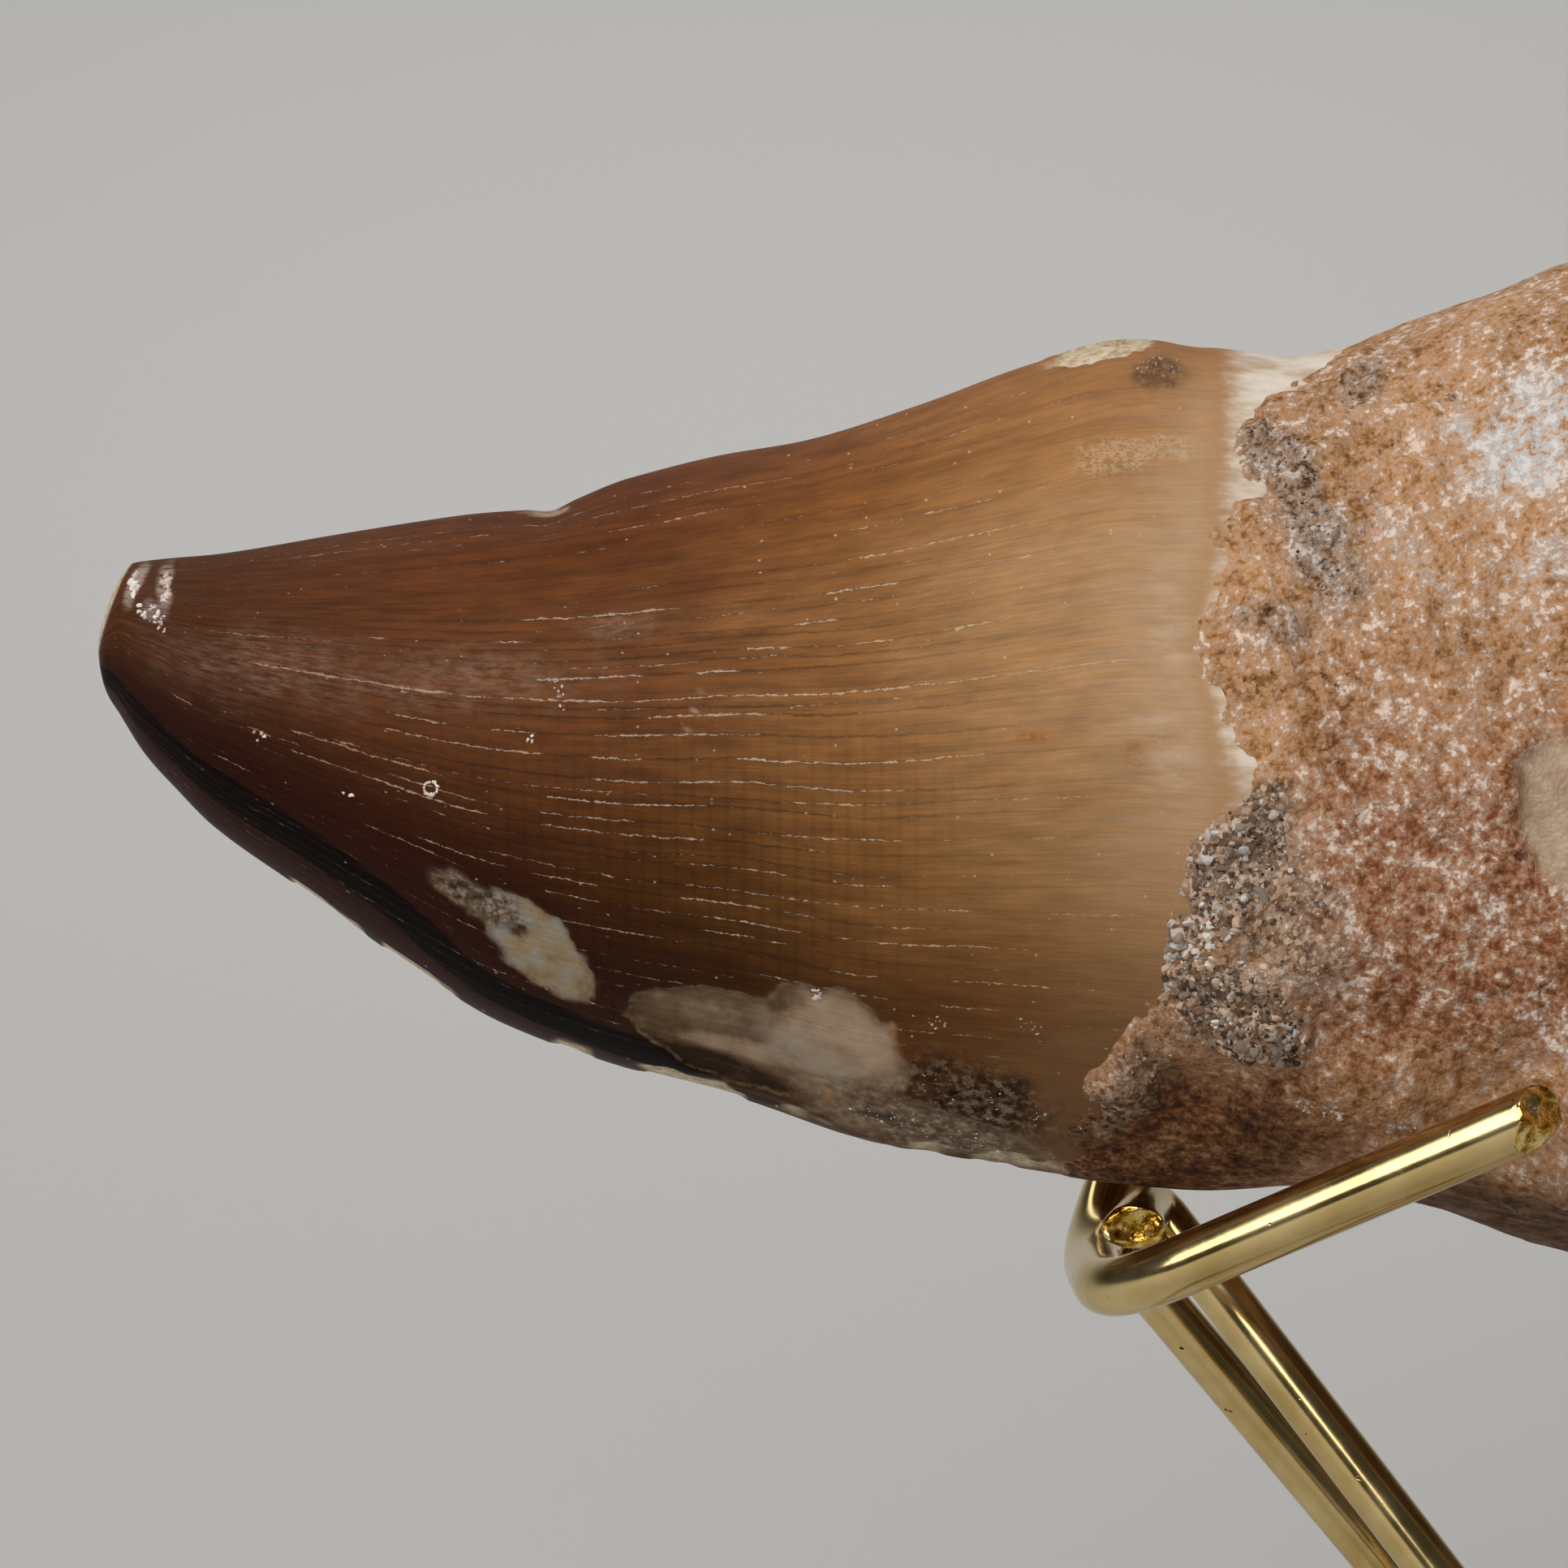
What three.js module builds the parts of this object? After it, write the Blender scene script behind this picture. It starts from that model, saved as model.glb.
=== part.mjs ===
// A fossil mosasaur tooth lying across a polished brass wire stand.
//
// Millimetres, +Z up. X runs along the tooth from the worn tip to the broken root, and Y runs
// through its thickness, with the better side facing -Y. The origin is on the surface the stand
// rests on, under the middle of the whole object.
//
// Lengths below are first measured from the tip of the tooth (x), from its middle plane (y) and
// from the level of the crown's middle (z). The last group moves them all to the origin.

import * as THREE from 'three';
import { mergeVertices } from 'three/addons/utils/BufferGeometryUtils.js';

// ---- Driving dimensions of the tooth --------------------------------------------------------

const TOOTH_LENGTH = 98;
const ROOT_END_START = 87; // the broken end of the root starts to close here
const CRUST_STEP = 0.8; // the bone of the root stands this proud of the enamel
const PULP_HOLLOW = 4.5; // depth of the dished middle of the broken end
const RINGS = 66;
const POINTS_ROUND = 50;

// The back and front edges of the tooth, as [x, z]: the cutting edges of the crown, then the root.
const UPPER_EDGE = [
  [0.0, 6.3], [0.35, 7.9], [1.0, 9.5], [1.6, 10.3], [5.8, 10.85], [11.3, 11.8], [16.4, 12.7],
  [22.1, 13.75], [28.5, 15.15], [32.8, 16.1], [38.1, 17.6], [42.4, 18.9], [47.0, 20.1],
  [51.1, 20.2], [55.0, 19.8], [57.7, 20.3], [60.8, 21.3], [64.1, 22.4], [67.9, 23.9],
  [75.0, 25.0], [83.0, 24.5], [91.0, 22.4], [98.0, 20.0],
];
const LOWER_EDGE = [
  [0.0, 6.1], [0.35, 4.3], [1.0, 3.2], [2.1, 1.5], [3.6, -0.15], [5.3, -1.9], [9.1, -4.7],
  [14.6, -8.5], [18.6, -10.95], [24.1, -13.05], [29.6, -14.5], [35.8, -16.5], [39.9, -17.25],
  [46.5, -18.3], [51.1, -18.7], [55.3, -18.5], [61.2, -19.3], [66.3, -21.0], [72.0, -22.0],
  [79.0, -20.4], [85.0, -17.6], [91.0, -14.9], [98.0, -12.6],
];

// The upper edge is chipped: how far it stands above or below the plain curve, as [x, step].
const UPPER_CHIPS = [
  [0.0, 0.0], [5.8, -0.15], [11.3, -0.25], [16.4, -0.4], [19.7, -0.72], [20.9, -0.97],
  [22.1, -0.65], [24.5, -0.2], [28.5, -0.05], [32.8, -0.2], [38.1, 0.0], [42.4, 0.3],
  [45.1, 0.42], [47.8, 0.5], [51.1, 0.0], [98.0, 0.0],
];
const CHIP_DEPTH = 0.12; // share of the way down where the chips have faded out

// Half of the thickness along the tooth, as [x, y].
const HALF_THICKNESS = [
  [0.0, 0.0], [0.15, 1.1], [0.7, 2.3], [2.0, 3.5], [5.0, 4.7], [12.0, 6.6], [22.0, 8.8],
  [34.0, 10.9], [46.0, 12.1], [54.0, 12.5], [62.0, 13.9], [72.0, 15.7], [80.0, 16.3],
  [90.0, 15.6], [98.0, 14.6],
];

// Where the enamel ends and the bone of the root starts, as [share of the way down, x].
const COLLAR_FRONT = [
  [0.0, 57.3], [0.1, 52.8], [0.22, 51.6], [0.36, 50.1], [0.52, 51.4], [0.59, 49.3],
  [0.7, 48.9], [0.83, 46.7], [0.9, 45.1], [1.0, 44.0],
];
const COLLAR_BACK = [[0.0, 57.3], [0.25, 51.8], [0.5, 53.6], [0.75, 49.6], [1.0, 44.0]];

// Marks on the front of the tooth: x and z of the middle, half length, half width, turn, and how
// far it stands out of the form or, below zero, is sunk into it.
const MARKS = [
  { x: 20.6, z: -7.3, long: 4.0, wide: 1.7, turn: -0.74, out: -0.45 }, // small flake scar
  { x: 29.9, z: -10.8, long: 5.4, wide: 1.6, turn: -0.1, out: -0.35 }, // long scar, its left part
  { x: 33.9, z: -12.0, long: 3.2, wide: 2.8, turn: -0.5, out: -0.35 }, // and its wide right part
  { x: 46.6, z: 20.2, long: 3.0, wide: 1.2, turn: 0.28, out: -0.4 }, // chip in the upper edge
  { x: 48.5, z: 18.6, long: 1.4, wide: 1.0, turn: 0, out: 0.3 }, // bit of rock stuck to the enamel
  { x: 57.0, z: -14.1, long: 3.0, wide: 0.9, turn: -0.16, out: 0.4 }, // white lumps above the hook
  { x: 64.4, z: -1.0, long: 1.8, wide: 3.0, turn: 0, out: -0.7 }, // smooth hollow in the bone
];
const GRAVEL = { x: 50.3, z: -7.0, long: 3.2, wide: 6.5, turn: -0.35 }; // sandy rock on the collar

// ---- Driving dimensions of the stand --------------------------------------------------------

const HOOK_WIRE = 1.35; // radius of the hooks' brass wire
const LEG_WIRE = 1.2; // radius of the legs' wire, which is a little thinner
const WIRE_SIDES = 8;
const HAIRPIN_BEND = 4; // how far from a corner of the hook its bend starts
const LEG_BEND = 1.4;
const GAP = 0.3; // left between wires that touch
const LEG_CLEARANCE = 0.4; // more for the leaning cut face of a leg
const MIDDLE = 68; // the stand mirrors about this x
const FLOOR = -67.2;
const FOOT_Z = FLOOR + LEG_WIRE;
const FOOT_X = 84.2; // foot of the legs that carry the left hook
const INNER_FEET = 13.6; // half the spread of the left hook's feet
const OUTER_FEET = 19.5; // the right hook's legs stand outside them, so the two pairs can cross

// Each hook runs from the cut end of its front prong, round a hairpin under the tooth, to a rest
// behind it. The right one meets the thicker root, so it stands further off.
const LEFT_HOOK = [[64.0, -12.9, -14.1], [46.1, -6.4, -22.8], [46.1, 5.4, -22.4],
  [51.2, 13.4, -11.5], [57.0, 17.1, -1.0]];
const RIGHT_HOOK = [[64.0, -14.6, -14.1], [46.1, -7.6, -22.8], [46.1, 7.4, -22.4],
  [51.2, 17.9, -11.5], [56.5, 19.3, -1.0]];
const FRONT_LEG = [[47.6, -1.8, -20.35], [49.0, 3.6, -19.7]]; // its short bent end, then its top
const BACK_LEG_TOP = [48.0, 9.0, -22.8];

const ENAMEL_AND_BONE = new THREE.MeshStandardMaterial({ color: 0x9a7050, roughness: 0.6, metalness: 0 });
const BRASS = new THREE.MeshStandardMaterial({ color: 0xc9a64f, roughness: 0.2, metalness: 1 });

// ---- Small helpers --------------------------------------------------------------------------

function clamp01(value) {
  return Math.min(1, Math.max(0, value));
}

// Runs softly from 0 at one value to 1 at the other, which may be the lower one.
function smooth(from, to, value) {
  const share = clamp01((value - from) / (to - from));
  return share * share * (3 - 2 * share);
}

// Reads a table of [place, value] rows with a curve that never overshoots them.
function along(table, place) {
  const last = table.length - 1;
  const at = clamp01((place - table[0][0]) / (table[last][0] - table[0][0]));
  const here = table[0][0] + at * (table[last][0] - table[0][0]);
  let i = 0;
  while (i < last - 1 && here > table[i + 1][0]) i += 1;
  const slope = (k) => (table[k + 1][1] - table[k][1]) / (table[k + 1][0] - table[k][0]);
  const tangent = (k) => {
    if (k === 0) return slope(0);
    if (k === last) return slope(last - 1);
    const before = slope(k - 1);
    const after = slope(k);
    return before * after <= 0 ? 0 : (2 * before * after) / (before + after);
  };
  const width = table[i + 1][0] - table[i][0];
  const u = (here - table[i][0]) / width;
  const rise = table[i + 1][1] - table[i][1];
  const start = tangent(i) * width;
  const end = tangent(i + 1) * width;
  return table[i][1] + u * (start + u * (3 * rise - 2 * start - end + u * (start + end - 2 * rise)));
}

// A repeatable number from 0 to 1 for each corner of a grid of cubes.
function corner(i, j, k) {
  const wave = Math.sin(i * 127.1 + j * 311.7 + k * 74.7) * 43758.5453;
  return wave - Math.floor(wave);
}

// Soft lumps from -1 to 1, about size millimetres apart.
function lumps(x, y, z, size) {
  const [i, j, k] = [x / size, y / size, z / size].map(Math.floor);
  const ease = (share) => share * share * (3 - 2 * share);
  const [u, v, w] = [x / size - i, y / size - j, z / size - k].map(ease);
  const mix = THREE.MathUtils.lerp;
  const row = (b, c) => mix(corner(i, b, c), corner(i + 1, b, c), u);
  return 2 * mix(mix(row(j, k), row(j + 1, k), v), mix(row(j, k + 1), row(j + 1, k + 1), v), w) - 1;
}

// 1 in the middle of an oval mark on the front of the tooth, 0 outside it.
function inMark(x, z, mark) {
  const dx = x - mark.x;
  const dz = z - mark.z;
  const lengthwise = dx * Math.cos(mark.turn) + dz * Math.sin(mark.turn);
  const sideways = dz * Math.cos(mark.turn) - dx * Math.sin(mark.turn);
  return 1 - smooth(0.7, 1.15, Math.hypot(lengthwise / mark.long, sideways / mark.wide));
}

// ---- The tooth ------------------------------------------------------------------------------

// The root's broken end: 1 along the tooth, closing to 0 at its last point.
function closing(x) {
  const share = clamp01((x - ROOT_END_START) / (TOOTH_LENGTH - ROOT_END_START));
  return Math.pow(1 - Math.pow(share, 3.2), 1 / 3.2);
}

// How far the surface stands out of the plain form: crust and lumps on the root, chips and ledges
// on the crown. side is -1 in front and 1 behind, and share runs from the upper edge down.
function relief(x, y, z, side, share) {
  const collar = along(side < 0 ? COLLAR_FRONT : COLLAR_BACK, share);
  const onRoot = smooth(collar - 0.6, collar + 0.6, x);
  const ragged = 0.9 * smooth(86, 94, x) * lumps(x, y + 20, z, 4);
  const bone = CRUST_STEP + 0.8 * lumps(x, y, z, 7) + 0.45 * lumps(x + 40, y, z, 3.2) + ragged;
  const gravel = side < 0 ? inMark(x, z, GRAVEL) : 0;
  const folds = 0.3 * lumps(x / 5, y, z, 2.4) * smooth(60, 66, x) * smooth(-10, -16, z);
  let out = onRoot * (bone + gravel * (0.3 + 0.9 * lumps(x, y + 9, z, 1.9)) + folds);
  out *= smooth(-0.04, 0.12, share * (1 - share)); // the two edges keep their measured outline
  if (side < 0) MARKS.forEach((mark) => { out += mark.out * inMark(x, z, mark); });
  return out - 0.12 * (1 - onRoot) * lumps(x / 4, y, z, 5);
}

// One point of the surface: angle 0 is on the upper edge and half a turn is on the lower edge.
function toothPoint(x, angle) {
  const side = angle < Math.PI ? -1 : 1;
  const share = (1 - Math.cos(angle)) / 2;
  const close = closing(x);
  const upper = along(UPPER_EDGE, x);
  const lower = along(LOWER_EDGE, x);
  const chipped = along(UPPER_CHIPS, x) * smooth(CHIP_DEPTH, 0, share);
  const middle = (upper + lower) / 2;
  const halfHeight = ((upper - lower) / 2) * close;
  const sharpness = THREE.MathUtils.lerp(1.3, 1.0, smooth(48, 66, x));
  const swell = Math.pow(Math.abs(Math.sin(angle)), sharpness);
  const flatter = side < 0 ? 0.94 : 1.06; // the front side is a little flatter than the back
  const halfWidth = along(HALF_THICKNESS, x) * close * flatter;
  const y = side * halfWidth * swell;
  const z = middle + halfHeight * Math.cos(angle);
  const out = relief(x, y, z, side, share) * close * smooth(0, 4, x);
  const outward = new THREE.Vector2(y / (halfWidth + 0.01) ** 2, (z - middle) / (halfHeight + 0.01) ** 2);
  outward.normalize();
  const sunk = PULP_HOLLOW * smooth(0.8, 0.1, close) + 0.8 * smooth(0.95, 0.6, close) * lumps(x, y, z, 4);
  return new THREE.Vector3(x - sunk, y + out * outward.x, z + chipped + out * outward.y);
}

// Places of the rings along the tooth, closer together at the two ends.
function ringPlaces() {
  const places = [];
  for (let i = 1; i < RINGS; i += 1) {
    const u = i / RINGS;
    places.push(TOOTH_LENGTH * (u - 0.1 * Math.sin(2 * Math.PI * u)));
  }
  return places;
}

// Rings of points joined by triangles, with one pole at the tip and one at the broken end.
function toothGeometry() {
  const places = ringPlaces();
  const tip = new THREE.Vector3(0, 0, (UPPER_EDGE[0][1] + LOWER_EDGE[0][1]) / 2);
  const endMiddle = (UPPER_EDGE.at(-1)[1] + LOWER_EDGE.at(-1)[1]) / 2;
  const points = [tip, new THREE.Vector3(TOOTH_LENGTH - PULP_HOLLOW, 0, endMiddle)];
  const ringStart = (r) => 2 + r * POINTS_ROUND;
  const faces = [];
  places.forEach((x) => {
    for (let j = 0; j < POINTS_ROUND; j += 1) {
      points.push(toothPoint(x, (2 * Math.PI * j) / POINTS_ROUND));
    }
  });
  for (let j = 0; j < POINTS_ROUND; j += 1) {
    const next = (j + 1) % POINTS_ROUND;
    faces.push(0, ringStart(0) + next, ringStart(0) + j);
    const last = ringStart(places.length - 1);
    faces.push(1, last + j, last + next);
    for (let r = 0; r + 1 < places.length; r += 1) {
      const [a, b] = [ringStart(r) + j, ringStart(r) + next];
      const [c, d] = [ringStart(r + 1) + j, ringStart(r + 1) + next];
      faces.push(a, b, c, b, d, c);
    }
  }
  const geometry = new THREE.BufferGeometry().setFromPoints(points);
  geometry.setIndex(faces);
  return geometry;
}

// ---- The stand ------------------------------------------------------------------------------

function vector(place) {
  return new THREE.Vector3(...place);
}

function mirrored(place) {
  return [2 * MIDDLE - place[0], place[1], place[2]];
}

// A line through the corners, with each corner rounded from bend millimetres before it.
function bentLine(corners, bend) {
  const points = corners.map(vector);
  const line = new THREE.CurvePath();
  let from = points[0];
  for (let i = 1; i + 1 < points.length; i += 1) {
    const before = points[i].clone().lerp(points[i - 1], bend / points[i].distanceTo(points[i - 1]));
    const after = points[i].clone().lerp(points[i + 1], bend / points[i].distanceTo(points[i + 1]));
    line.add(new THREE.LineCurve3(from, before));
    line.add(new THREE.QuadraticBezierCurve3(before, points[i], after));
    from = after;
  }
  line.add(new THREE.LineCurve3(from, points.at(-1)));
  return line;
}

// A round wire along a line.
function wireGeometry(line, radius, steps) {
  const section = new THREE.Shape();
  section.absarc(0, 0, radius, 0, 2 * Math.PI);
  const outline = new THREE.Shape(section.getSpacedPoints(WIRE_SIDES).slice(0, WIRE_SIDES));
  const settings = { extrudePath: line, steps, curveSegments: 1, bevelEnabled: false };
  const geometry = new THREE.ExtrudeGeometry(outline, settings);
  geometry.deleteAttribute('normal');
  geometry.deleteAttribute('uv');
  return mergeVertices(geometry, 1e-4);
}

// A straight leg that stops just above its foot bar.
function legEnd(top, foot) {
  const clearance = LEG_WIRE + GAP + LEG_CLEARANCE;
  return vector(foot).lerp(vector(top), clearance / vector(foot).distanceTo(vector(top))).toArray();
}

function mesh(name, geometry, material) {
  const made = new THREE.Mesh(geometry, material);
  made.name = name;
  return made;
}

// The hook, its two legs and the bar that joins their feet. place() mirrors them for the right side.
function halfStand(side, hook, feet, place) {
  const parts = new THREE.Group();
  const frontFoot = [FOOT_X, -feet, FOOT_Z];
  const backFoot = [FOOT_X, feet, FOOT_Z];
  const frontLeg = [...FRONT_LEG, legEnd(FRONT_LEG[1], frontFoot)];
  const backLeg = [BACK_LEG_TOP, legEnd(BACK_LEG_TOP, backFoot)];
  const addWire = (name, corners, bend, radius, steps) => {
    const line = bentLine(corners.map(place), bend);
    parts.add(mesh(`${side}_${name}`, wireGeometry(line, radius, steps), BRASS));
  };
  addWire('hook', hook, HAIRPIN_BEND, HOOK_WIRE, 48);
  addWire('front_leg', frontLeg, LEG_BEND, LEG_WIRE, 30);
  addWire('back_leg', backLeg, LEG_BEND, LEG_WIRE, 1);

  const flatSideDown = Math.PI / WIRE_SIDES;
  const rodLength = 2 * (feet + LEG_WIRE);
  const rod = new THREE.CylinderGeometry(
    LEG_WIRE, LEG_WIRE, rodLength, WIRE_SIDES, 1, false, flatSideDown,
  );
  const bar = mesh(`${side}_foot_bar`, rod, BRASS);
  bar.position.set(...place([FOOT_X, 0, FLOOR + LEG_WIRE * Math.cos(flatSideDown)]));
  parts.add(bar);
  return parts;
}

const object = new THREE.Group();
object.add(mesh('fossil_tooth', toothGeometry(), ENAMEL_AND_BONE));
object.add(halfStand('left', LEFT_HOOK, INNER_FEET, (p) => p));
object.add(halfStand('right', RIGHT_HOOK, OUTER_FEET, mirrored));
const box = new THREE.Box3().setFromObject(object);
object.position.set(-(box.min.x + box.max.x) / 2, -(box.min.y + box.max.y) / 2, -FLOOR);

const part = new THREE.Group();
part.add(object);
export default part;
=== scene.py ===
# %% [markdown]
# # A fossil mosasaur tooth on its brass wire stand
#
# This notebook dresses a finished CAD model. The CAD part holds the real sizes: one solid for
# the tooth, and a handful of plain wires for the stand. Here each of them gets the surface that
# the real thing has: glossy cracked enamel, sugary fossil bone, and polished brass.
#
# The tooth lies along X, with its worn tip at low X, and its better side faces -Y, towards the
# camera.

# %% Load the frame
import math
from functools import partial

import bmesh
import bpy
import numpy as np
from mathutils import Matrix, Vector


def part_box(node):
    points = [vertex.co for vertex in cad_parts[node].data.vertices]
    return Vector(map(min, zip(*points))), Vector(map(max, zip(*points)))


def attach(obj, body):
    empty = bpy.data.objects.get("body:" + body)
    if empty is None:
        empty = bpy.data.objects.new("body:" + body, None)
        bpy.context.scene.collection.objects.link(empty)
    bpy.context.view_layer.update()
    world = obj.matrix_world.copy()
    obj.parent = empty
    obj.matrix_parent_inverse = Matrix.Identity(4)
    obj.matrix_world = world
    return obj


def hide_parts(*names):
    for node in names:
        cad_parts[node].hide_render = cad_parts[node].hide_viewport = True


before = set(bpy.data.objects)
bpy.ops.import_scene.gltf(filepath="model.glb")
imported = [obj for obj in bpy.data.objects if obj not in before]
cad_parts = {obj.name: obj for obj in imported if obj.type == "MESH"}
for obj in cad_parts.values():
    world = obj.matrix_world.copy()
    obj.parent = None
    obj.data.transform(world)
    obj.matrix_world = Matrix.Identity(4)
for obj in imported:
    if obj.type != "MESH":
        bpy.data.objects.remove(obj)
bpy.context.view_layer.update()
MM = 0.001
tooth_low, tooth_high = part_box("fossil_tooth")
TIP_X = tooth_low.x / MM  # X of the tip in the shared frame, in millimetres
STAND_HEIGHT = 67.2  # from the shelf up to the level of the crown's middle, in millimetres
print("nodes:", ", ".join(sorted(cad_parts)))
print("tooth length, mm:", round((tooth_high.x - tooth_low.x) / MM, 2))


def to_frame(x, y, z):
    """Millimetres from the tip, the middle plane and the crown's level, to metres in the frame."""
    x, y, z = np.broadcast_arrays(x, y, z)
    return np.stack([(x + TIP_X) * MM, y * MM, (z + STAND_HEIGHT) * MM], axis=-1)


# %% [markdown]
# ## Camera
#
# A thing this small is looked at through a macro lens from close by, level with the specimen.
# A camera needs only a place, a direction and a lens. The lens follows from the width of the
# view at the tooth and from the distance, by similar triangles, so neither is found by trial.

# %% Camera
VIEW_WIDTH = 72.45  # millimetres seen across the picture, at the tooth's middle plane
VIEW_DISTANCE = 170.0
VIEW_MIDDLE_X = 31.65  # from the tip

camera_data = bpy.data.cameras.new("macro_camera")
camera_data.sensor_width = 36.0
camera_data.lens = camera_data.sensor_width * VIEW_DISTANCE / VIEW_WIDTH
camera = bpy.data.objects.new("macro_camera", camera_data)
camera.location = to_frame(VIEW_MIDDLE_X, -VIEW_DISTANCE, 0.0)
camera.rotation_euler = (math.radians(90), 0, 0)
bpy.context.collection.objects.link(camera)
bpy.context.scene.camera = camera
print("lens, mm:", round(camera_data.lens, 1))

# %% [markdown]
# ## Lumps: one noise for every scale
#
# Bone, crust and gravel are uneven at every scale. A value noise gives each corner of a grid of
# cubes a repeatable random number and blends between them. It is the same formula as the CAD
# part's, so the big lumps here are the CAD solid's own lumps, and finer ones are added on top.

# %% Noise and blending helpers
def smooth(start, end, value):
    """Runs softly from 0 where value is start to 1 where it is end."""
    share = np.clip((value - start) / (end - start), 0.0, 1.0)
    return share * share * (3.0 - 2.0 * share)


def corner(i, j, k):
    """A repeatable number from 0 to 1 for each corner of a grid of cubes."""
    wave = np.sin(i * 127.1 + j * 311.7 + k * 74.7) * 43758.5453
    return wave - np.floor(wave)


def lumps(x, y, z, size):
    """Soft lumps from -1 to 1, about size millimetres apart."""
    x, y, z = np.broadcast_arrays(x, y, z)
    i, j, k = np.floor(x / size), np.floor(y / size), np.floor(z / size)
    u, v, w = (s * s * (3 - 2 * s) for s in (x / size - i, y / size - j, z / size - k))
    total = 0.0
    for a, wa in ((0, 1 - u), (1, u)):
        for b, wb in ((0, 1 - v), (1, v)):
            for c, wc in ((0, 1 - w), (1, w)):
                total = total + wa * wb * wc * corner(i + a, j + b, k + c)
    return 2 * total - 1


def along(table, place):
    """Reads a table of (place, value) rows with a curve that never overshoots them."""
    at, value = np.array(table, dtype=float).T
    place = np.clip(place, at[0], at[-1])
    slope = np.diff(value) / np.diff(at)
    before, after = slope[:-1], slope[1:]
    both = np.where(before + after == 0, 1, before + after)
    inner = np.where(before * after > 0, 2 * before * after / both, 0)
    tangent = np.concatenate([slope[:1], inner, slope[-1:]])
    i = np.clip(np.searchsorted(at, place, side="right") - 1, 0, len(at) - 2)
    width = at[i + 1] - at[i]
    u = (place - at[i]) / width
    rise, start, end = value[i + 1] - value[i], tangent[i] * width, tangent[i + 1] * width
    return value[i] + u * (start + u * (3 * rise - 2 * start - end + u * (start + end - 2 * rise)))


def oval(x, z, middle, half, turn):
    """Distance from the middle of a turned oval: 1 on its outline."""
    dx, dz = x - middle[0], z - middle[1]
    lengthwise = dx * math.cos(turn) + dz * math.sin(turn)
    sideways = dz * math.cos(turn) - dx * math.sin(turn)
    return np.hypot(lengthwise / half[0], sideways / half[1])


print("lumps at one point:", round(float(lumps(10.0, 2.0, 3.0, 7.0)), 4))

# %% [markdown]
# ## The form of the tooth
#
# A mosasaur's crown is a curved cone pressed flat: two cutting edges run down it, so its section
# is a lens. The bony root below it is thicker and rounder. Three curves give the whole form: the
# upper edge, the lower edge and the half thickness. They are the CAD part's own curves. Building
# the surface from them as a fine grid of rings keeps every mark at its real place along the
# tooth, which sculpting by hand would not.

# %% Form
TOOTH_LENGTH = 98.0
ROOT_END_START = 87.0
CRUST_STEP = 0.8  # the bone stands this proud of the enamel
PULP_HOLLOW = 4.5  # how far the end of the root is dished
END_BULGE = 3.2  # 2 would close the root as a plain oval, more is blunter
FRONT_SHARE, BACK_SHARE = 0.94, 1.06  # of the half thickness
UPPER_EDGE = [
    (0.0, 6.3), (0.35, 7.9), (1.0, 9.5), (1.6, 10.3), (5.8, 10.85), (11.3, 11.8), (16.4, 12.7),
    (22.1, 13.75), (28.5, 15.15), (32.8, 16.1), (38.1, 17.6), (42.4, 18.9), (47.0, 20.1),
    (51.1, 20.2), (55.0, 19.8), (57.7, 20.3), (60.8, 21.3), (64.1, 22.4), (67.9, 23.9),
    (75.0, 25.0), (83.0, 24.5), (91.0, 22.4), (98.0, 20.0),
]
LOWER_EDGE = [
    (0.0, 6.1), (0.35, 4.3), (1.0, 3.2), (2.1, 1.5), (3.6, -0.15), (5.3, -1.9), (9.1, -4.7),
    (14.6, -8.5), (18.6, -10.95), (24.1, -13.05), (29.6, -14.5), (35.8, -16.5), (39.9, -17.25),
    (46.5, -18.3), (51.1, -18.7), (55.3, -18.5), (61.2, -19.3), (66.3, -21.0), (72.0, -22.0),
    (79.0, -20.4), (85.0, -17.6), (91.0, -14.9), (98.0, -12.6),
]
# The upper edge is chipped: how far it stands above or below the plain curve.
UPPER_CHIPS = [
    (0.0, 0.0), (5.8, -0.15), (11.3, -0.25), (16.4, -0.4), (19.7, -0.72), (20.9, -0.97),
    (22.1, -0.65), (24.5, -0.2), (28.5, -0.05), (32.8, -0.2), (38.1, 0.0), (42.4, 0.3),
    (45.1, 0.42), (47.8, 0.5), (51.1, 0.0), (98.0, 0.0),
]
HALF_THICKNESS = [
    (0.0, 0.0), (0.15, 1.1), (0.7, 2.3), (2.0, 3.5), (5.0, 4.7), (12.0, 6.6), (22.0, 8.8),
    (34.0, 10.9), (46.0, 12.1), (54.0, 12.5), (62.0, 13.9), (72.0, 15.7), (80.0, 16.3),
    (90.0, 15.6), (98.0, 14.6),
]
# Where the enamel ends, as (share of the way down, millimetres from the tip).
COLLAR_FRONT = [
    (0.0, 57.3), (0.1, 52.8), (0.22, 51.6), (0.36, 50.1), (0.52, 51.4), (0.59, 49.3),
    (0.7, 48.9), (0.83, 46.7), (0.9, 45.1), (1.0, 44.0),
]
COLLAR_BACK = [(0.0, 57.3), (0.25, 51.8), (0.5, 53.6), (0.75, 49.6), (1.0, 44.0)]
# Where the white band begins that the enamel ends in, in the same terms.
WHITE_BAND = [
    (0.0, 52.4), (0.12, 51.8), (0.25, 50.9), (0.36, 50.3), (0.48, 50.9), (0.6, 51.4), (1.0, 52.0),
]
print("thickest, mm:", 2 * max(half for place, half in HALF_THICKNESS))

# %% [markdown]
# ### Points on the form
#
# A place along the tooth and an angle round it give a point of the surface, and the way that the
# surface faces there. The section is a lens on the crown, and swells to an oval on the root.

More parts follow.
